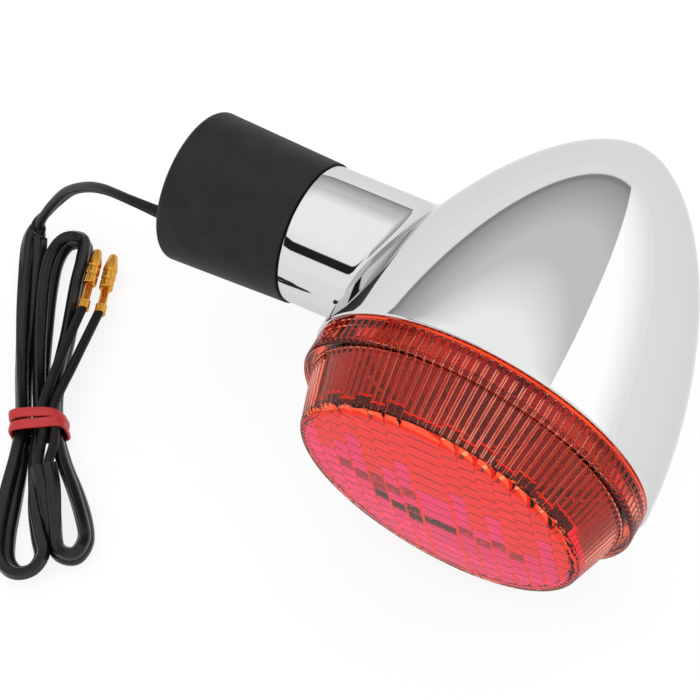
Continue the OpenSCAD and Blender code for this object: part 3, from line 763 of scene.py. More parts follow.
@dataclass
class LampHead:
    """The chrome bullet with its fillet round the stalk."""

    lamp_x: float = 84.0
    mouth_r: float = 38.4
    depth: float = 72.5
    mouth_f: float = 25.8
    wall: float = 2.0
    tip_wall: float = 3.0
    start_power: float = 1.67
    blunt_power: float = 1.72
    rim_round: float = 0.5
    fillet: float = 3.2
    stem_r: float = 15.5
    root: float = 1.0
    rows: int = 110
    row_power: float = 0.9
    turns: int = 256

    def radius(self, f: Array, mouth_r: float, depth: float) -> Array:
        """Bullet's radius: the mouth's times (1 - share^start)^(1/blunt).

        The share is that of the depth behind the mouth.

        Args:
            f: places in front of the stalk's axis.
            mouth_r: radius at the mouth.
            depth: length from mouth to tip.

        Returns:
            The radius at each place.
        """
        share = np.clip((self.mouth_f - f) / depth, 0.0, 1.0)
        return mouth_r * np.maximum(1 - share**self.start_power, 0.0) ** (1 / self.blunt_power)

    def flank_x(self, y: Array, z: Array) -> Array:
        """Place along X of the bullet's side towards the mount: the axis less the chord of its circle."""
        radius = self.radius(-y, self.mouth_r, self.depth)
        return self.lamp_x - np.sqrt(np.maximum(radius**2 - z**2, 0.0))

    def shell_outline(self) -> Array:
        """Draw the wall's closed outline, from the tip inside to the mouth, round its rim and back outside.

        Returns:
            The outline, as radius and place in front.
        """
        share = np.sin(np.linspace(0, math.pi / 2, self.rows)) ** self.row_power
        outer_f = self.mouth_f - self.rim_round - (self.depth - self.rim_round) * share
        outer = np.column_stack([self.radius(outer_f, self.mouth_r, self.depth), outer_f])
        inner_depth = self.depth - self.tip_wall
        inner_f = (self.mouth_f - inner_depth * share)[::-1]
        inner = np.column_stack([self.radius(inner_f, self.mouth_r - self.wall, inner_depth), inner_f])
        middle = (self.mouth_r - self.rim_round, self.mouth_f - self.rim_round)
        rim = Shapes.arc(middle, self.rim_round, start_deg=90, end_deg=0, steps=6)
        return np.vstack([inner, rim, outer[1:]])

    def fillet_ring(self) -> Array:
        """Draw the concave blend: an arc from the bullet's flank up to the stalk, turned round the stalk.

        Returns:
            A grid of points, one row for each point of the arc's closed outline.
        """
        t = np.linspace(0, math.pi / 2, num=14)
        outside = np.column_stack([self.stem_r + self.fillet * (1 - np.sin(t)),
                                   self.fillet * (1 - np.cos(t))])
        inside = np.array([[self.stem_r - self.root, self.fillet], [self.stem_r - self.root, -self.root],
                           [self.stem_r + self.fillet, -self.root]])
        outline = np.vstack([outside, inside])
        angle = np.linspace(0, 2 * math.pi, self.turns, endpoint=False)[None, :]
        y, z = outline[:, :1] * np.cos(angle), outline[:, :1] * np.sin(angle)
        return np.stack([self.flank_x(y, z) - outline[:, 1:2], y, z], axis=-1)

    def build(self, finishes: Finishes) -> bpy.types.Object:
        """Make the housing's skin, which stands for the CAD housing.

        Args:
            finishes: the shared materials.

        Returns:
            The housing.
        """
        shell, faces = Shapes.turned(self.shell_outline(), self.turns, self.lamp_x)
        blend = self.fillet_ring()
        count = shell.size // 3
        more = Shapes.faces(*blend.shape[:2], True, True, count)
        points = np.vstack([shell.reshape(-1, 3), blend.reshape(-1, 3)])
        thing = Shapes.piece("housing_shell", points, [*faces, *more], smooth_deg=50)
        thing.data.materials.append(finishes.get(Finishes.CHROME))
        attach(thing, Body.LAMP.value)
        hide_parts("housing")
        return thing


@dataclass
class Stalk:
    """The chrome tube between the rubber mount and the housing."""

    head: LampHead
    start_x: float = 29.6
    radius: float = 15.5
    wall: float = 1.8
    edge: float = 0.7
    sunk: float = 1.0
    rows: int = 12
    turns: int = 200

    def build(self, finishes: Finishes) -> bpy.types.Object:
        """Make the tube, with a rolled edge at the mount and its far end cut to the bullet's flank.

        Args:
            finishes: the shared materials.

        Returns:
            The tube.
        """
        middle = (self.start_x + self.edge, self.radius - self.edge)
        edge = Shapes.arc(middle, self.edge, start_deg=180, end_deg=90, steps=7)
        angle = np.linspace(0, 2 * math.pi, self.turns, endpoint=False)[None, :]
        end_y, end_z = self.radius * np.cos(angle), self.radius * np.sin(angle)
        end_x = self.head.flank_x(end_y, end_z) + self.sunk
        share = np.linspace(0, 1, self.rows)[:, None]
        outer_x = edge[-1, 0] + (end_x - edge[-1, 0]) * share[1:]
        rim_x = np.broadcast_to(edge[:, :1], (len(edge), angle.size))
        inner_x = np.stack([end_x[0], np.full(angle.size, self.start_x)])
        x = np.vstack([rim_x, outer_x, inner_x])
        radius = np.concatenate([edge[:, 1], np.full(len(share) - 1, self.radius),
                                 np.full(2, self.radius - self.wall)])[:, None]
        points = np.stack([x, radius * np.cos(angle), radius * np.sin(angle)], axis=-1)
        thing = Shapes.piece("stalk_tube", points, Shapes.faces(*points.shape[:2], True, True), smooth_deg=40)
        thing.data.materials.append(finishes.get(Finishes.CHROME))
        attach(thing, Body.LAMP.value)
        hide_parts("stem_tube")
        return thing


@dataclass
class Lens:
    """The red moulded lens: band, stepped skirt and domed face, ribbed and prismed inside."""

    head: LampHead
    gasket: float = 0.7
    lip_gap: float = 0.1
    lip_w: float = 0.7
    lip_edge: float = 0.15
    band_h: float = 6.4
    band_inset: float = 0.6
    band_step: float = 2.2
    band_edge: float = 0.8
    skirt_h: float = 12.4
    skirt_taper: float = 3.5
    front_round: float = 2.0
    dome: float = 1.6
    wall: float = 2.2
    spigot_end_f: float = 20.5
    spigot_end_r: float = 35.8
    spigot_step: float = 0.2
    loose: float = 0.3
    flutes: int = 108
    flute_depth: float = 0.7
    rib_share: float = 0.4
    pitch: float = 3.7
    middle: float = 8.4
    prism_low: float = 0.3
    prism_h: float = 1.4
    pillow: float = 0.25
    hair: float = 0.01
    # Shares of a block's width and height for the mesh lines of its painted side highlights and of the
    # painted shade along its lower edge
    line_x: float = 0.06
    line_z: float = 0.085
    # Margin for telling faces apart by place
    margin: float = 0.1
    # Parts of a normal that tell them apart: turned in or out, facing one way, looking back, bent, and flat
    turned_at: float = 0.2
    facing_at: float = 0.5
    back_at: float = 0.7
    bent_at: float = 0.05
    flat_at: float = 0.98
    # How far block ends reach up the skirt's inner wall: the low ones' line and its top, then the high ones'
    block_rows: tuple[float, ...] = (1.0, 1.3, 2.0, 2.3)
    # Blocks above this share of the radius get painted warm light, sooner along X by the lean, and scattered
    # by a wave
    warm_from: float = 0.15
    warm_lean: float = 0.3
    warm_spread: float = 0.28
    warm_mix: tuple[float, float] = (12.99, 78.23)
    # Up to this height, as a share of its radius, the face's border and the block ends get painted light as
    # bright as the prisms
    painted_light_to: float = 0.3
    # Painted shade where the blocks look into the dark socket: middle and half size along X and Z, the
    # darkest patch first
    socket_shade_patches: tuple[tuple[float, ...], ...] = (
        (-6, -8.6, 9.5, 2.6), (-13, -1.5, 11, 2.4), (9, -8.5, 9, 2.4),
    )

    @property
    def back_f(self) -> float:
        """Where the band's back face meets the gasket."""
        return self.head.mouth_f + self.gasket

    @property
    def band_f(self) -> float:
        """Where the band ends and the skirt starts."""
        return self.head.mouth_f + self.band_h

    @property
    def face_f(self) -> float:
        """Where the skirt's front edge lies."""
        return self.band_f + self.skirt_h

    @property
    def band_r(self) -> float:
        """Outer radius of the band."""
        return self.head.mouth_r - self.band_inset

    @property
    def skirt_r(self) -> float:
        """Outer radius of the skirt's foot."""
        return self.band_r - self.band_step

    @property
    def face_r(self) -> float:
        """Outer radius of the front edge."""
        return self.skirt_r - self.skirt_taper

    def outer_outline(self) -> Array:
        """Draw the lens's outside, from the spigot's end over the lip, band and skirt to the face's middle.

        The face is a dome: its height falls with the square of the share of the radius.

        Returns:
            The outline, as radius and place in front.
        """
        lip_r, lip_f, crisp = self.band_r - self.lip_w, self.head.mouth_f + self.lip_gap, self.lip_edge
        spigot_r = self.head.mouth_r - self.head.wall - self.loose
        back = [(self.spigot_end_r, self.spigot_end_f), (spigot_r, self.back_f), (lip_r, self.back_f),
                (lip_r, lip_f), (self.band_r - crisp, lip_f), (self.band_r, lip_f + crisp),
                (self.band_r, lip_f + self.lip_w)]
        edge, bend = self.band_edge, self.front_round
        band = Shapes.arc((self.band_r - edge, self.band_f - edge), edge, start_deg=0, end_deg=90, steps=6)
        foot = Shapes.arc((self.skirt_r + edge / 2, self.band_f + edge / 2), edge / 2,
                          start_deg=270, end_deg=180, steps=5)
        rim = Shapes.arc((self.face_r - bend, self.face_f - bend), bend, start_deg=10, end_deg=84, steps=8)
        radius = np.linspace(rim[-1, 0], 0, num=14)[1:]
        dome = np.column_stack([radius, self.face_f + self.dome * (1 - (radius / rim[-1, 0]) ** 2)])
        return np.vstack([back, band, foot, rim, dome])

    def inner_outline(self) -> Array:
        """Draw the lens's inside, between the ribs, from the face's rim back to the spigot's end.

        Returns:
            The outline, as radius and place in front.
        """
        deep = self.flute_depth
        spigot_in = self.spigot_end_r - self.wall + deep
        step_f = self.band_f - self.wall
        foot_r = self.skirt_r - self.wall + deep
        rim_r = self.face_r - self.wall + deep
        rim, foot = np.array([rim_r, self.face_f - self.wall]), np.array([foot_r, step_f])
        rows = rim + (foot - rim) * np.array(self.block_rows)[:, None] / (rim[1] - foot[1])
        spigot = [(spigot_in, step_f - self.spigot_step), (spigot_in, self.spigot_end_f)]
        return np.vstack([rim, rows, foot, spigot])

    def turns(self) -> tuple[Array, Array]:
        """Angles round the lens, with the same few in each flute, and the height of the rib at each.

        A rib is half round: the root of one less the square of its place across, from -1 to 1.

        Returns:
            The angles and the ribs' heights as shares of their depth.
        """
        across = np.array([-1.0, -0.92, -0.7, -0.35, 0.0, 0.35, 0.7, 0.92, 1.0])
        place = np.concatenate([[0.0], 0.5 + self.rib_share / 2 * across])
        rib = np.concatenate([[0.0], np.sqrt(1 - across**2)])
        turn = (np.arange(self.flutes)[:, None] + place[None, :]) * 2 * math.pi / self.flutes
        return turn.ravel() - math.pi, np.tile(rib, self.flutes)

    @property
    def prism_r(self) -> float:
        """Radius of the disc that the prisms fill."""
        return self.inner_outline()[0, 0] - self.flute_depth - self.loose

    @property
    def columns(self) -> Array:
        """Place the edges between the prisms' columns.

        Returns:
            Their places along X from the lamp's axis.
        """
        count = math.ceil((self.prism_r - self.middle / 2) / self.pitch) + 1
        side = self.middle / 2 + self.pitch * np.arange(count)
        return np.concatenate([-side[::-1], side])

    def prism_lines(self, edges: Array, shares: Sequence[float]) -> Array:
        """Lay grid lines at the given shares between each two edges, a hair's breadth inside both."""
        start, width = edges[:-1, None] + self.hair, np.diff(edges)[:, None] - 2 * self.hair
        return (start + width * np.array(shares)).ravel()

    def prism_place(self, x: Array, z: Array) -> tuple[Array, Array, Array]:
        """Where places lie in their block, as shares of its width and of its height.

        Every other column is half a row off.

        Args:
            x: places along X from the lamp's axis.
            z: places along Z.

        Returns:
            The two shares, and the middle of each place's column along X.
        """
        edges = self.columns
        number = np.clip(np.searchsorted(edges, x) - 1, 0, len(edges) - 2)
        across = (x - edges[number]) / (edges[number + 1] - edges[number])
        along = (z / self.pitch - 0.5 * ((number - len(edges) // 2 + 1) % 2)) % 1.0
        return across, along, (edges[number] + edges[number + 1]) / 2

    def prisms(self) -> tuple[Array, Array, Array]:
        """The prisms behind the face, cut to a disc.

        Each block rises along Z from its low to its high edge, and is pillowed by 1 - (2 across - 1)^2.
        The columns are a pitch wide, the middle one wider, and each is half a pitch off the next.
        Grid points outside the disc that belong to a cell inside it are drawn in to its rim.

        Returns:
            The points as x, rise and z, the quads, and the numbers of the rim's points in order of angle.
        """
        radius = self.prism_r
        half = self.pitch / 2
        rows = math.ceil(radius / half) + 1
        line_x, line_z = self.line_x, 2 * self.line_z
        lines_x = self.prism_lines(self.columns, (0, line_x, 0.25, 0.5, 0.75, 1 - line_x, 1))
        lines_z = self.prism_lines(half * np.arange(-rows, rows + 1), (0, line_z, 0.55, 1))
        x, z = np.meshgrid(lines_x, lines_z, indexing="ij")
        across, along, _ = self.prism_place(x, z)
        rise = (self.prism_low + (self.prism_h - self.prism_low) * along
                + self.pillow * (1 - (2 * across - 1) ** 2))
        far = np.hypot(x, z)
        inside = (far < radius).ravel()
        quads = Shapes.faces(*x.shape, False, False)
        quads = quads[inside[quads].any(axis=1)]
        pull = np.where(far < radius, 1.0, radius / np.maximum(far, radius))
        used = np.unique(quads)
        renumber = np.zeros(x.size, int)
        renumber[used] = np.arange(len(used))
        points = np.stack([x * pull, rise, z * pull], axis=-1).reshape(-1, 3)[used]
        rim = np.flatnonzero(~inside[used])
        order = np.argsort(np.arctan2(points[rim, 2], points[rim, 0]))
        return points, renumber[quads], rim[order]

    def dress(self, mesh: bpy.types.Mesh, finishes: Finishes) -> None:
        """Give each face of the moulding its finish.

        Args:
            mesh: the moulding.
            finishes: the shared materials.
        """
        for finish in Finishes.REDS.values():
            mesh.materials.append(finishes.get(finish))
        centres, normals = np.empty((2, 3 * len(mesh.polygons)))
        mesh.polygons.foreach_get("center", centres)
        mesh.polygons.foreach_get("normal", normals)
        places = centres.reshape(-1, 3) / MM - [self.head.lamp_x, 0.0, 0.0]
        kinds = self.kinds(places, normals.reshape(-1, 3))
        mesh.polygons.foreach_set("material_index", kinds.astype(np.int32))

    def kinds(self, places: Array, normals: Array) -> Array:
        """Tell each face's kind, and with it its painted highlight or painted shade, by where it lies and
        which way it looks.

        A later kind takes the place of an earlier one. Outward and backward are parts of the face's normal,
        away from the lamp's axis and into the housing.

        Args:
            places: middles of the faces, from the lamp's axis.
            normals: the ways they look.

        Returns:
            A kind of red for each.
        """
        x, front, z = places[:, 0], -places[:, 1], places[:, 2]
        far = np.hypot(x, z)
        outward = (normals[:, 0] * x + normals[:, 2] * z) / np.maximum(far, self.margin)
        backward = normals[:, 1]
        floor_f = self.face_f - self.wall
        rim_r = self.prism_r + self.loose / 2
        turned_in, turned_out = outward < -self.turned_at, outward > self.turned_at
        outside = far > rim_r
        near_face = front > floor_f - self.prism_h - self.pillow - self.margin

        # The skirt and band inside: painted shade on the skirt's flats, and painted orange highlights on the
        # ribs
        turn = (np.arctan2(z, x) + math.pi) * self.flutes / (2 * math.pi) % 1.0
        inner = turned_in & outside
        kind = np.full(len(far), Red.SKIN)
        kind[inner] = np.where(front[inner] > self.band_f, Red.PAINTED_SHADE, Red.BAND)
        kind[inner & (np.abs(turn - 0.5) < self.rib_share / 2)] = Red.ORANGE_HIGHLIGHT

        # The row of block ends along the skirt's front edge, low and high by turns: painted shade, with a
        # painted highlight line along them
        low_line, low_top, high_line, high_top = self.block_rows
        above = floor_f - front
        tall = np.searchsorted(self.columns, x) % 2 == 1
        block_end = inner & (above < np.where(tall, high_top, low_top))
        on_line = above > np.where(tall, high_line, low_line)
        kind[block_end] = np.where(on_line, Red.EDGE_HIGHLIGHT, Red.BLOCK_END_SHADE)[block_end]

        # The prisms: painted warm light above and pink below, painted shade in patches and along their lower
        # edges, and painted highlights on their sides
        among = near_face & (far < rim_r)
        kind[among] = Red.FACE
        looks_front = backward <= -self.facing_at
        prism = among & ~looks_front
        across, along, middle_x = self.prism_place(x, z)
        middle_z = z - (along - 0.5) * self.pitch
        dark, dim, dim_right = (np.hypot((middle_x - at_x) / half_x, (middle_z - at_z) / half_z) < 1
                                for at_x, at_z, half_x, half_z in self.socket_shade_patches)
        scatter = self.warm_spread * np.sin(self.warm_mix[0] * middle_x + self.warm_mix[1] * middle_z)
        height = (middle_z + self.warm_lean * middle_x) / self.prism_r
        kind[prism] = np.where(height + scatter > self.warm_from, Red.PAINTED_WARM_LIGHT, Red.PRISM)[prism]
        kind[prism & (dim | dim_right)] = Red.PAINTED_HALF_SHADE
        kind[prism & (dark | (along < self.line_z))] = Red.PAINTED_SHADE
        kind[prism & (np.abs(across - 0.5) > 0.5 - self.line_x)] = Red.EDGE_HIGHLIGHT

        # The border between prisms and skirt gets painted shade, and painted light lower down; the rounded
        # front edge and the lip get painted highlights
        prism_side = (outward > self.facing_at) & (far > self.prism_r - self.margin)
        looks_back = backward > self.back_at
        border = (prism & prism_side) | (outside & looks_back & near_face)
        kind[border] = Red.PAINTED_SHADE
        kind[(border | block_end) & (z < self.painted_light_to * far)] = Red.PRISM
        bent = (outward > self.bent_at) & (backward < self.flat_at)
        kind[bent & (front > self.face_f - self.front_round) & outside] = Red.ORANGE_HIGHLIGHT
        lip = (far > self.band_r - self.lip_w / 2) & (front < self.head.mouth_f + self.lip_w)
        kind[lip & turned_out] = Red.EDGE_HIGHLIGHT
        return kind

    def build(self, finishes: Finishes) -> bpy.types.Object:
        """Make the lens as one closed moulding, which stands for the CAD lens.

        Args:
            finishes: the shared materials.

        Returns:
            The lens.
        """
        outer, inner = self.outer_outline(), self.inner_outline()
        angle, rib = self.turns()
        outer_r = np.broadcast_to(outer[::-1, :1], (len(outer), angle.size))
        radius = np.vstack([outer_r, inner[::-1, :1] - self.flute_depth * rib])
        along = np.concatenate([outer[::-1, 1], inner[::-1, 1]])[:, None]
        along = np.broadcast_to(along, radius.shape)
        wall = np.stack([radius * np.cos(angle), along, radius * np.sin(angle)], axis=-1)
        floor_f = self.face_f - self.wall
        prisms, prism_faces, rim = self.prisms()
        foot = prisms[rim] * [1.0, 0.0, 1.0]
        prisms, foot = (p * [1.0, -1.0, 1.0] + [0.0, floor_f, 0.0] for p in (prisms, foot))
        first_prism = wall.size // 3
        first_foot = first_prism + len(prisms)
        foot_number = first_foot + np.arange(len(foot))
        rim_angle = np.arctan2(foot[:, 2], foot[:, 0])
        wall_end = (len(wall) - 1) * angle.size + np.arange(angle.size)
        side = np.column_stack([first_prism + rim, np.roll(first_prism + rim, -1), np.roll(foot_number, -1),
                                foot_number])
        ring = Shapes.zip_rings(rim_angle, foot_number, angle, wall_end)
        points = np.vstack([wall.reshape(-1, 3), prisms, foot])
        points = points * [1.0, -1.0, 1.0] + [self.head.lamp_x, 0.0, 0.0]
        faces = [*Shapes.faces(*wall.shape[:2], False, True), *(prism_faces + first_prism), *side, *ring]
        thing = Shapes.piece("lens_moulding", points, faces, smooth_deg=28)
        self.dress(thing.data, finishes)
        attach(thing, Body.LENS.value)
        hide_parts("lens")
        return thing


@dataclass
class Hank:
    """The two leads, their flat sleeve, the tails with bullet connectors, and the rubber band."""

    wire_off: float = 9.5
    wire_r: float = 1.1
    pair_off: float = 1.15
    sleeve_w: float = 6.2
    sleeve_t: float = 2.8
    sleeve_wall: float = 0.3
    sleeve_edge: float = 0.35
    sleeve_step: float = 0.7
    swell_w: float = 1.2
    close_rate: float = 2.2
    close_power: float = 0.8
    lie_z: float = -35.2
    # How many of the pair's last points each wire's own tail takes over
    tail_start: int = 6
    strand_r: float = 0.2
    strand_len: float = 5.0
    strand_ring: int = 6
    strand_reach: float = 0.42
    strand_twist: float = 0.35
    neck_open: float = 0.55
    # Outline of a connector: place along it, radius, and how far the top is cut away
    bullet: tuple[tuple[float, float, float], ...] = (
        (-1.6, 1.16, 0), (-1.6, 1.32, 0), (0.6, 1.32, 0), (1.0, 0.95, 0), (1.1, 0.95, 0.65),
        (4.9, 0.95, 0.65), (5.0, 0.95, 0), (5.2, 1.5, 0), (5.4, 1.6, 0), (7.1, 1.6, 0), (7.4, 1.38, 0),
        (7.7, 1.38, 0), (8.0, 1.65, 0), (9.3, 1.65, 0), (9.6, 1.38, 0), (9.9, 1.38, 0), (10.2, 1.68, 0),
        (10.9, 1.66, 0), (14.3, 1.0, 0), (14.6, 0.8, 0),
    )
    tie_at: tuple[float, float] = (-16.95, -53.66)
    tie_turn: float = -56.0
    tie_slope: float = 0.11
    band_half: float = 6.1
    band_low: float = -3.0
    band_high: float = 5.5
    band_square: float = 0.5
    band_w: float = 2.3
    band_t: float = 0.8
    band_wave: float = 0.18
    band_lean: float = 0.25
    # Waves round each turn of the band: of its place along the hank, and of its lean
    band_waves: tuple[int, int] = (3, 2)
    # Each turn of the band: its place along the hank, its skew and the phase of its waves
    band_turns: tuple[tuple[float, float, float], ...] = ((-1.3, 0.35, 0.4), (1.2, -0.35, 2.1))
    lead: list[tuple[float, ...]] = field(init=False)
    sleeve: list[tuple[float, ...]] = field(init=False)
    left_tail: list[tuple[float, ...]] = field(init=False)
    right_tail: list[tuple[float, ...]] = field(init=False)
    left_tip: tuple[float, float, float] = field(init=False)
    right_tip: tuple[float, float, float] = field(init=False)

    def __post_init__(self) -> None:
        """Lay the routes: x, y, z in millimetres and the sleeve's tilt from standing on its edge."""
        low = self.lie_z
        self.lead = [
            (0, -self.wire_off, 0, 180), (-5, -self.wire_off, -0.1, 168), (-12, -9, -1.2, 157),
            (-20.5, -7.4, -5, 152), (-28, -6, -11, 141), (-35, -5.6, -18, 130),
            (-40.5, -6.6, -25.5, 125), (-44, -8.2, -31, 120),
            (-45.2, -9.4, -33.3, 114), (-45.2, -10.6, -34.2, 110),
        ]
        self.sleeve = [
            (-45.2, -10.7, -34.3, 110), (-45.2, -12.1, low, 100),
            (-43.8, -15, low, 85), (-40.5, -21, low, 65),
            (-34.5, -32, low, 40), (-28, -43.5, low, 15), (-21.2, -54.4, low, 5), (-17.2, -62.5, low, 25),
            (-13.8, -71, low, 42), (-10.4, -79, low, 45), (-7, -84, low, 38), (-3, -85.6, low, 32),
            (0, -83.4, low, 32), (0, -79.4, low, 32), (-3.4, -75.6, low, 28), (-8, -70, low, 20),
            (-13, -62, low, 6), (-17.5, -53, low, 0), (-24, -42.5, low, -8), (-30, -32, low, -22),
            (-35.5, -21.5, low, -30), (-38, -14.5, low, -26), (-37.4, -9.8, low, -12), (-33.6, -8.6, low, 0),
            (-31.2, -13.2, low, 0), (-28.9, -19.5, low, 0), (-24, -31, low, 0), (-19.4, -43, low, 0),
            (-14, -51.6, low, 0), (-8, -58, low, 8), (-1.4, -63.4, low, 14), (3.8, -68.2, low, 14),
            (7, -72.4, low, 4), (6.8, -76.6, low + 0.1, 4), (2.8, -77.2, low + 0.5, 20),
            (-1.4, -72.4, low + 2, 52), (-6, -66.2, low + 3.8, 80), (-9.4, -62.4, low + 4.3, 90),
        ]
        self.left_tail = [
            (-12.2, -59.4, low + 4.1), (-14.4, -54.6, low + 4),
            (-17.6, -50, low + 4.2), (-20.4, -38.5, low + 4.2), (-24, -23, low + 2.2),
        ]
        self.right_tail = [
            (-10, -57.4, low + 4.1), (-12.2, -53.2, low + 4),
            (-15.4, -48.5, low + 4), (-17.5, -37.5, low + 3), (-20.4, -22, low + 1.2),
        ]
        self.left_tip = (-29.3, -9.3, low + 0.8)
        self.right_tip = (-25.7, -8.8, low - 0.4)

    def wire_path(self, side: float, tail: list[tuple[float, ...]]) -> Array:
        """One wire's whole line: beside the pair's line through the lead and sleeve, then its own tail.

        Args:
            side: how far it lies from the pair's middle, along the sleeve's width.
            tail: the rest of its route.

        Returns:
            The line's points.
        """
        pair = Route(self.lead[:-1] + self.sleeve)
        beside = pair.aside(side)
        end = [tuple(beside[-self.tail_start]), tuple(beside[-1])]
        return np.vstack([beside[: -self.tail_start], Route(end + tail).points])

    def make_wire(self, name: str, side: float, tail: list[tuple[float, ...]],
                  finishes: Finishes) -> tuple[bpy.types.Object, Array]:
        """Make one insulated wire as a round tube.

        Args:
            name: the piece's name.
            side: how far it lies from the pair's middle.
            tail: its route after the sleeve.
            finishes: the shared materials.

        Returns:
            The wire and its centreline in millimetres.
        """
        path = self.wire_path(side, tail)
        _, upright, level = Route.directions(path)
        section = flat_section(2 * self.wire_r, 2 * self.wire_r, steps=14, power=2)
        rings = tube(path, upright, level, section)
        thing = Shapes.piece(name, rings, capped_tube(rings), smooth_deg=60)
        thing.data.materials.append(finishes.get(Finishes.INSULATION))
        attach(thing, Body.LAMP.value)
        return thing, path

    def sleeve_section(self, inset: float) -> Array:
        """Section of the sleeve: two swellings over the wires, with flat thin edges beside them.

        The half thickness at x is edge + (half - edge) exp(-((|x| - wire place) / wire radius / swell)^4),
        times a root that closes it at both edges.

        Args:
            inset: how far inside the outer skin it lies.

        Returns:
            The section's points.
        """
        angle = np.linspace(0, 2 * math.pi, num=40, endpoint=False)
        x = self.sleeve_w / 2 * np.cos(angle)
        swell = np.exp(-(((np.abs(x) - self.pair_off) / self.wire_r / self.swell_w) ** 4))
        half = self.sleeve_edge + (self.sleeve_t / 2 - self.sleeve_edge) * swell - inset
        close = np.minimum(1.0, self.close_rate * np.abs(np.sin(angle)) ** self.close_power)
        return np.column_stack([x * (1 - 2 * inset / self.sleeve_w), half * close * np.sign(np.sin(angle))])

    def make_sleeve(self, finishes: Finishes) -> bpy.types.Object:
        """Make the flat sleeve as a thin film round both wires, open at its ends.

        Args:
            finishes: the shared materials.

        Returns:
            The sleeve.
        """
        route = Route(self.sleeve, self.sleeve_step)
        width, thick = route.frame()
        outside = tube(route.points, width, thick, self.sleeve_section(0.0))
        inside = tube(route.points, width, thick, self.sleeve_section(self.sleeve_wall))
        rows = np.concatenate([outside, inside[::-1]])
        thing = Shapes.piece("flat_sleeve", rows, Shapes.faces(*rows.shape[:2], True, True), smooth_deg=50)
        thing.data.materials.append(finishes.get(Finishes.SLEEVE))
        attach(thing, Body.LAMP.value)
        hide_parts("wire_sleeve")
        return thing

    def make_band(self, finishes: Finishes) -> bpy.types.Object:
        """Make the two turns of the rubber band round the hank, each a little skewed and wavy.

        A turn's line is a rounded square that slides along the hank by its skew, a wave and the tie's slope.

        Args:
            finishes: the shared materials.

        Returns:
            The band.
        """
        turn = math.radians(self.tie_turn)
        along = np.array([math.cos(turn), math.sin(turn), 0.0])
        across = np.array([-math.sin(turn), math.cos(turn), 0.0])
        up = np.array([0.0, 0.0, 1.0])
        angle = np.linspace(0, 2 * math.pi, num=120, endpoint=False)
        c, s = np.cos(angle), np.sin(angle)
        side = self.band_half * np.sign(c) * np.abs(c) ** self.band_square
        half_lift = (self.band_high - self.band_low) / 2
        lift = (self.band_high + self.band_low) / 2 + half_lift * np.sign(s) * np.abs(s) ** self.band_square
        ring = np.array([*self.tie_at, self.lie_z]) + side[:, None] * across + lift[:, None] * up
        section = flat_section(self.band_w, self.band_t, steps=16, power=3)
        place_waves, lean_waves = self.band_waves
        points, faces = [], []
        for number, (shift, skew, phase) in enumerate(self.band_turns):
            wave = self.band_wave * np.sin(place_waves * angle + phase)
            slide = shift + skew * c + wave + self.tie_slope * side
            path = ring + slide[:, None] * along
            heading = unit(np.roll(path, -1, axis=0) - np.roll(path, 1, axis=0))
            lean = self.band_lean * np.sin(lean_waves * angle + phase)[:, None]
            wide = np.cos(lean) * along + np.sin(lean) * unit(np.cross(heading, along))
            rings = tube(path, wide, np.cross(heading, wide), section)
            faces.extend(Shapes.faces(*rings.shape[:2], True, True, number * rings.size // 3).tolist())
            points.append(rings.reshape(-1, 3))
        thing = Shapes.piece("hank_band", np.vstack(points), faces, smooth_deg=60)
        thing.data.materials.append(finishes.get(Finishes.BAND))
        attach(thing, Body.LAMP.value)
        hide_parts("rubber_band")
        return thing

    @staticmethod
    def pointing(end: Sequence[float], tip: Sequence[float]) -> tuple[Array, Array, Array]:
        """Work out the directions of something straight.

        Args:
            end: where it starts.
            tip: where it points.

        Returns:
            The heading, the level way across it, and the way up across both.
        """
        heading = unit(np.subtract(tip, end))
        side = unit(np.cross(heading, [0.0, 0.0, 1.0]))
        return heading, side, np.cross(side, heading)

    def make_strands(self, name: str, end: Sequence[float], tip: Sequence[float],
                     finishes: Finishes) -> bpy.types.Object:
        """Make the bare copper strands between a wire's end and its bullet, six twisted round one.

        A strand's line at a distance z is end + z heading + reach (cos, sin)(turn + twist z) across it.

        Args:
            name: the piece's name.
            end: where the insulation ends.
            tip: the bullet's tip.
            finishes: the shared materials.

        Returns:
            The strands.
        """
        heading, side, rise = self.pointing(end, tip)
        section = flat_section(2 * self.strand_r, 2 * self.strand_r, steps=8, power=2)
        z = np.linspace(0, self.strand_len, num=14)[:, None]
        points, faces = [], []
        for number in range(self.strand_ring + 1):
            reach = 0.0 if number == self.strand_ring else self.strand_reach
            turn = number * 2 * math.pi / self.strand_ring + self.strand_twist * z
            path = np.asarray(end) + z * heading + reach * (np.cos(turn) * side + np.sin(turn) * rise)
            rings = tube(path, np.broadcast_to(side, path.shape), np.broadcast_to(rise, path.shape), section)
            faces.extend(capped_tube(rings, number * rings.size // 3))
            points.append(rings.reshape(-1, 3))
        thing = Shapes.piece(name, np.vstack(points), faces, smooth_deg=60)
        thing.data.materials.append(finishes.get(Finishes.COPPER))
        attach(thing, Body.LAMP.value)
        return thing

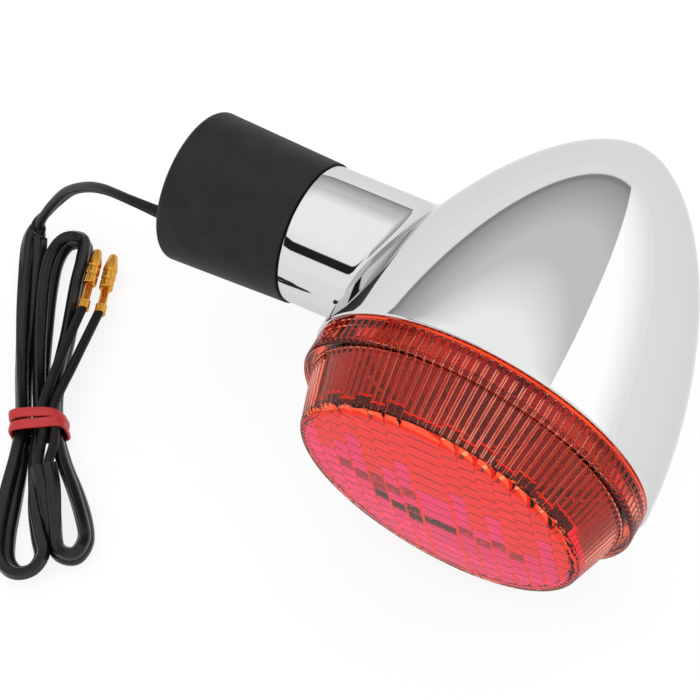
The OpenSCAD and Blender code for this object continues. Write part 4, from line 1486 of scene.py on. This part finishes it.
    def make_connectors(self, finishes: Finishes) -> bpy.types.Object:
        """Make both bullet connectors: crimp, open neck, collar, bead between two grooves, and blunt cone.

        A ring's point is end + z heading + r(z) (cos a side + sin a rise), and on top of the neck r is cut to
        about a third, so that the strands show.

        Args:
            finishes: the shared materials.

        Returns:
            The pair.
        """
        z, radius, cut = np.array(self.bullet).T[..., None]
        angle = np.linspace(0, 2 * math.pi, num=48, endpoint=False)
        reach = (radius * (1 - cut * (np.sin(angle) > self.neck_open)))[..., None]
        ends = ((self.left_tail[-1], self.left_tip), (self.right_tail[-1], self.right_tip))
        points, faces = [], []
        for number, (end, tip) in enumerate(ends):
            heading, side, rise = self.pointing(end, tip)
            ring = np.cos(angle)[:, None] * side + np.sin(angle)[:, None] * rise
            rings = np.asarray(end) + z[..., None] * heading + reach * ring
            faces.extend(capped_tube(rings, number * rings.size // 3))
            points.append(rings.reshape(-1, 3))
        thing = Shapes.piece("bullet_pair", np.vstack(points), faces, smooth_deg=25)
        thing.data.materials.append(finishes.get(Finishes.BRASS))
        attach(thing, Body.LAMP.value)
        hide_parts("bullet_connectors")
        return thing

    def build(self, finishes: Finishes) -> None:
        """Args:
            finishes: the shared materials.
        """
        sleeve = self.make_sleeve(finishes)
        band = self.make_band(finishes)
        left, left_path = self.make_wire("left_wire", -self.pair_off, self.left_tail, finishes)
        right, right_path = self.make_wire("right_wire", self.pair_off, self.right_tail, finishes)
        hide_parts("lead_wires")
        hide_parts("tail_wires")
        left_core = self.make_strands("left_strands", self.left_tail[-1], self.left_tip, finishes)
        right_core = self.make_strands("right_strands", self.right_tail[-1], self.right_tip, finishes)
        connectors = self.make_connectors(finishes)


# Finish of each CAD node that keeps its own shape
KEPT_NODES: dict[str, Finish] = {
    "rubber_boot": Finishes.RUBBER,
    "wire_grommet": Finishes.RUBBER,
    "lens_gasket": Finishes.RUBBER,
    "stem_bolt": Finishes.ZINC,
    "stem_washer": Finishes.ZINC,
    "mount_insert": Finishes.ZINC,
    "clamp_plate": Finishes.ZINC,
    "reflector": Finishes.MIRROR,
    "reflector_screws": Finishes.ZINC,
    "socket_shell": Finishes.NICKEL,
    "socket_back": Finishes.PHENOLIC,
    "contact_plunger": Finishes.PHENOLIC,
    "contact_spring": Finishes.NICKEL,
    "live_terminal": Finishes.BRASS,
    "ground_lug": Finishes.BRASS,
    "live_wire": Finishes.INSULATION,
    "ground_wire": Finishes.INSULATION,
    "bulb_cap": Finishes.NICKEL,
    "bulb_glass": Finishes.GLASS,
    "bulb_stem": Finishes.GLASS,
    "bulb_filament": Finishes.TUNGSTEN,
}


def dress_kept_nodes(frame: dict[str, Any], finishes: Finishes) -> None:
    """Give each CAD node that stays in view its finish.

    Args:
        frame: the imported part.
        finishes: the shared materials.
    """
    for name, finish in KEPT_NODES.items():
        thing = frame["nodes"][name]
        for place in thing.material_slots:
            place.material = finishes.get(finish)
        log.info("%s keeps its shape in %s", name, finish.name)


def fold_spring(spring: bpy.types.Object) -> None:
    """Give the contact spring a mesh of its own; it is not shortened.

    Args:
        spring: the spring, which lies along Y with its fixed end at the back.
    """
    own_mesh(spring)


def main() -> None:
    """Load the part, build every class in order and report each piece."""
    logging.basicConfig(level=logging.INFO, format="%(name)s: %(message)s")
    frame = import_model()
    finishes = Finishes()
    Stage().build()
    Hank().build(finishes)
    head = LampHead()
    builders: list[Callable[[Finishes], bpy.types.Object]] = [head.build, Stalk(head).build, Lens(head).build]
    for build in builders:
        log.info("%s is in place", build(finishes).name)
    dress_kept_nodes(frame, finishes)
    fold_spring(frame["nodes"]["contact_spring"])


if __name__ == "__main__":
    main()
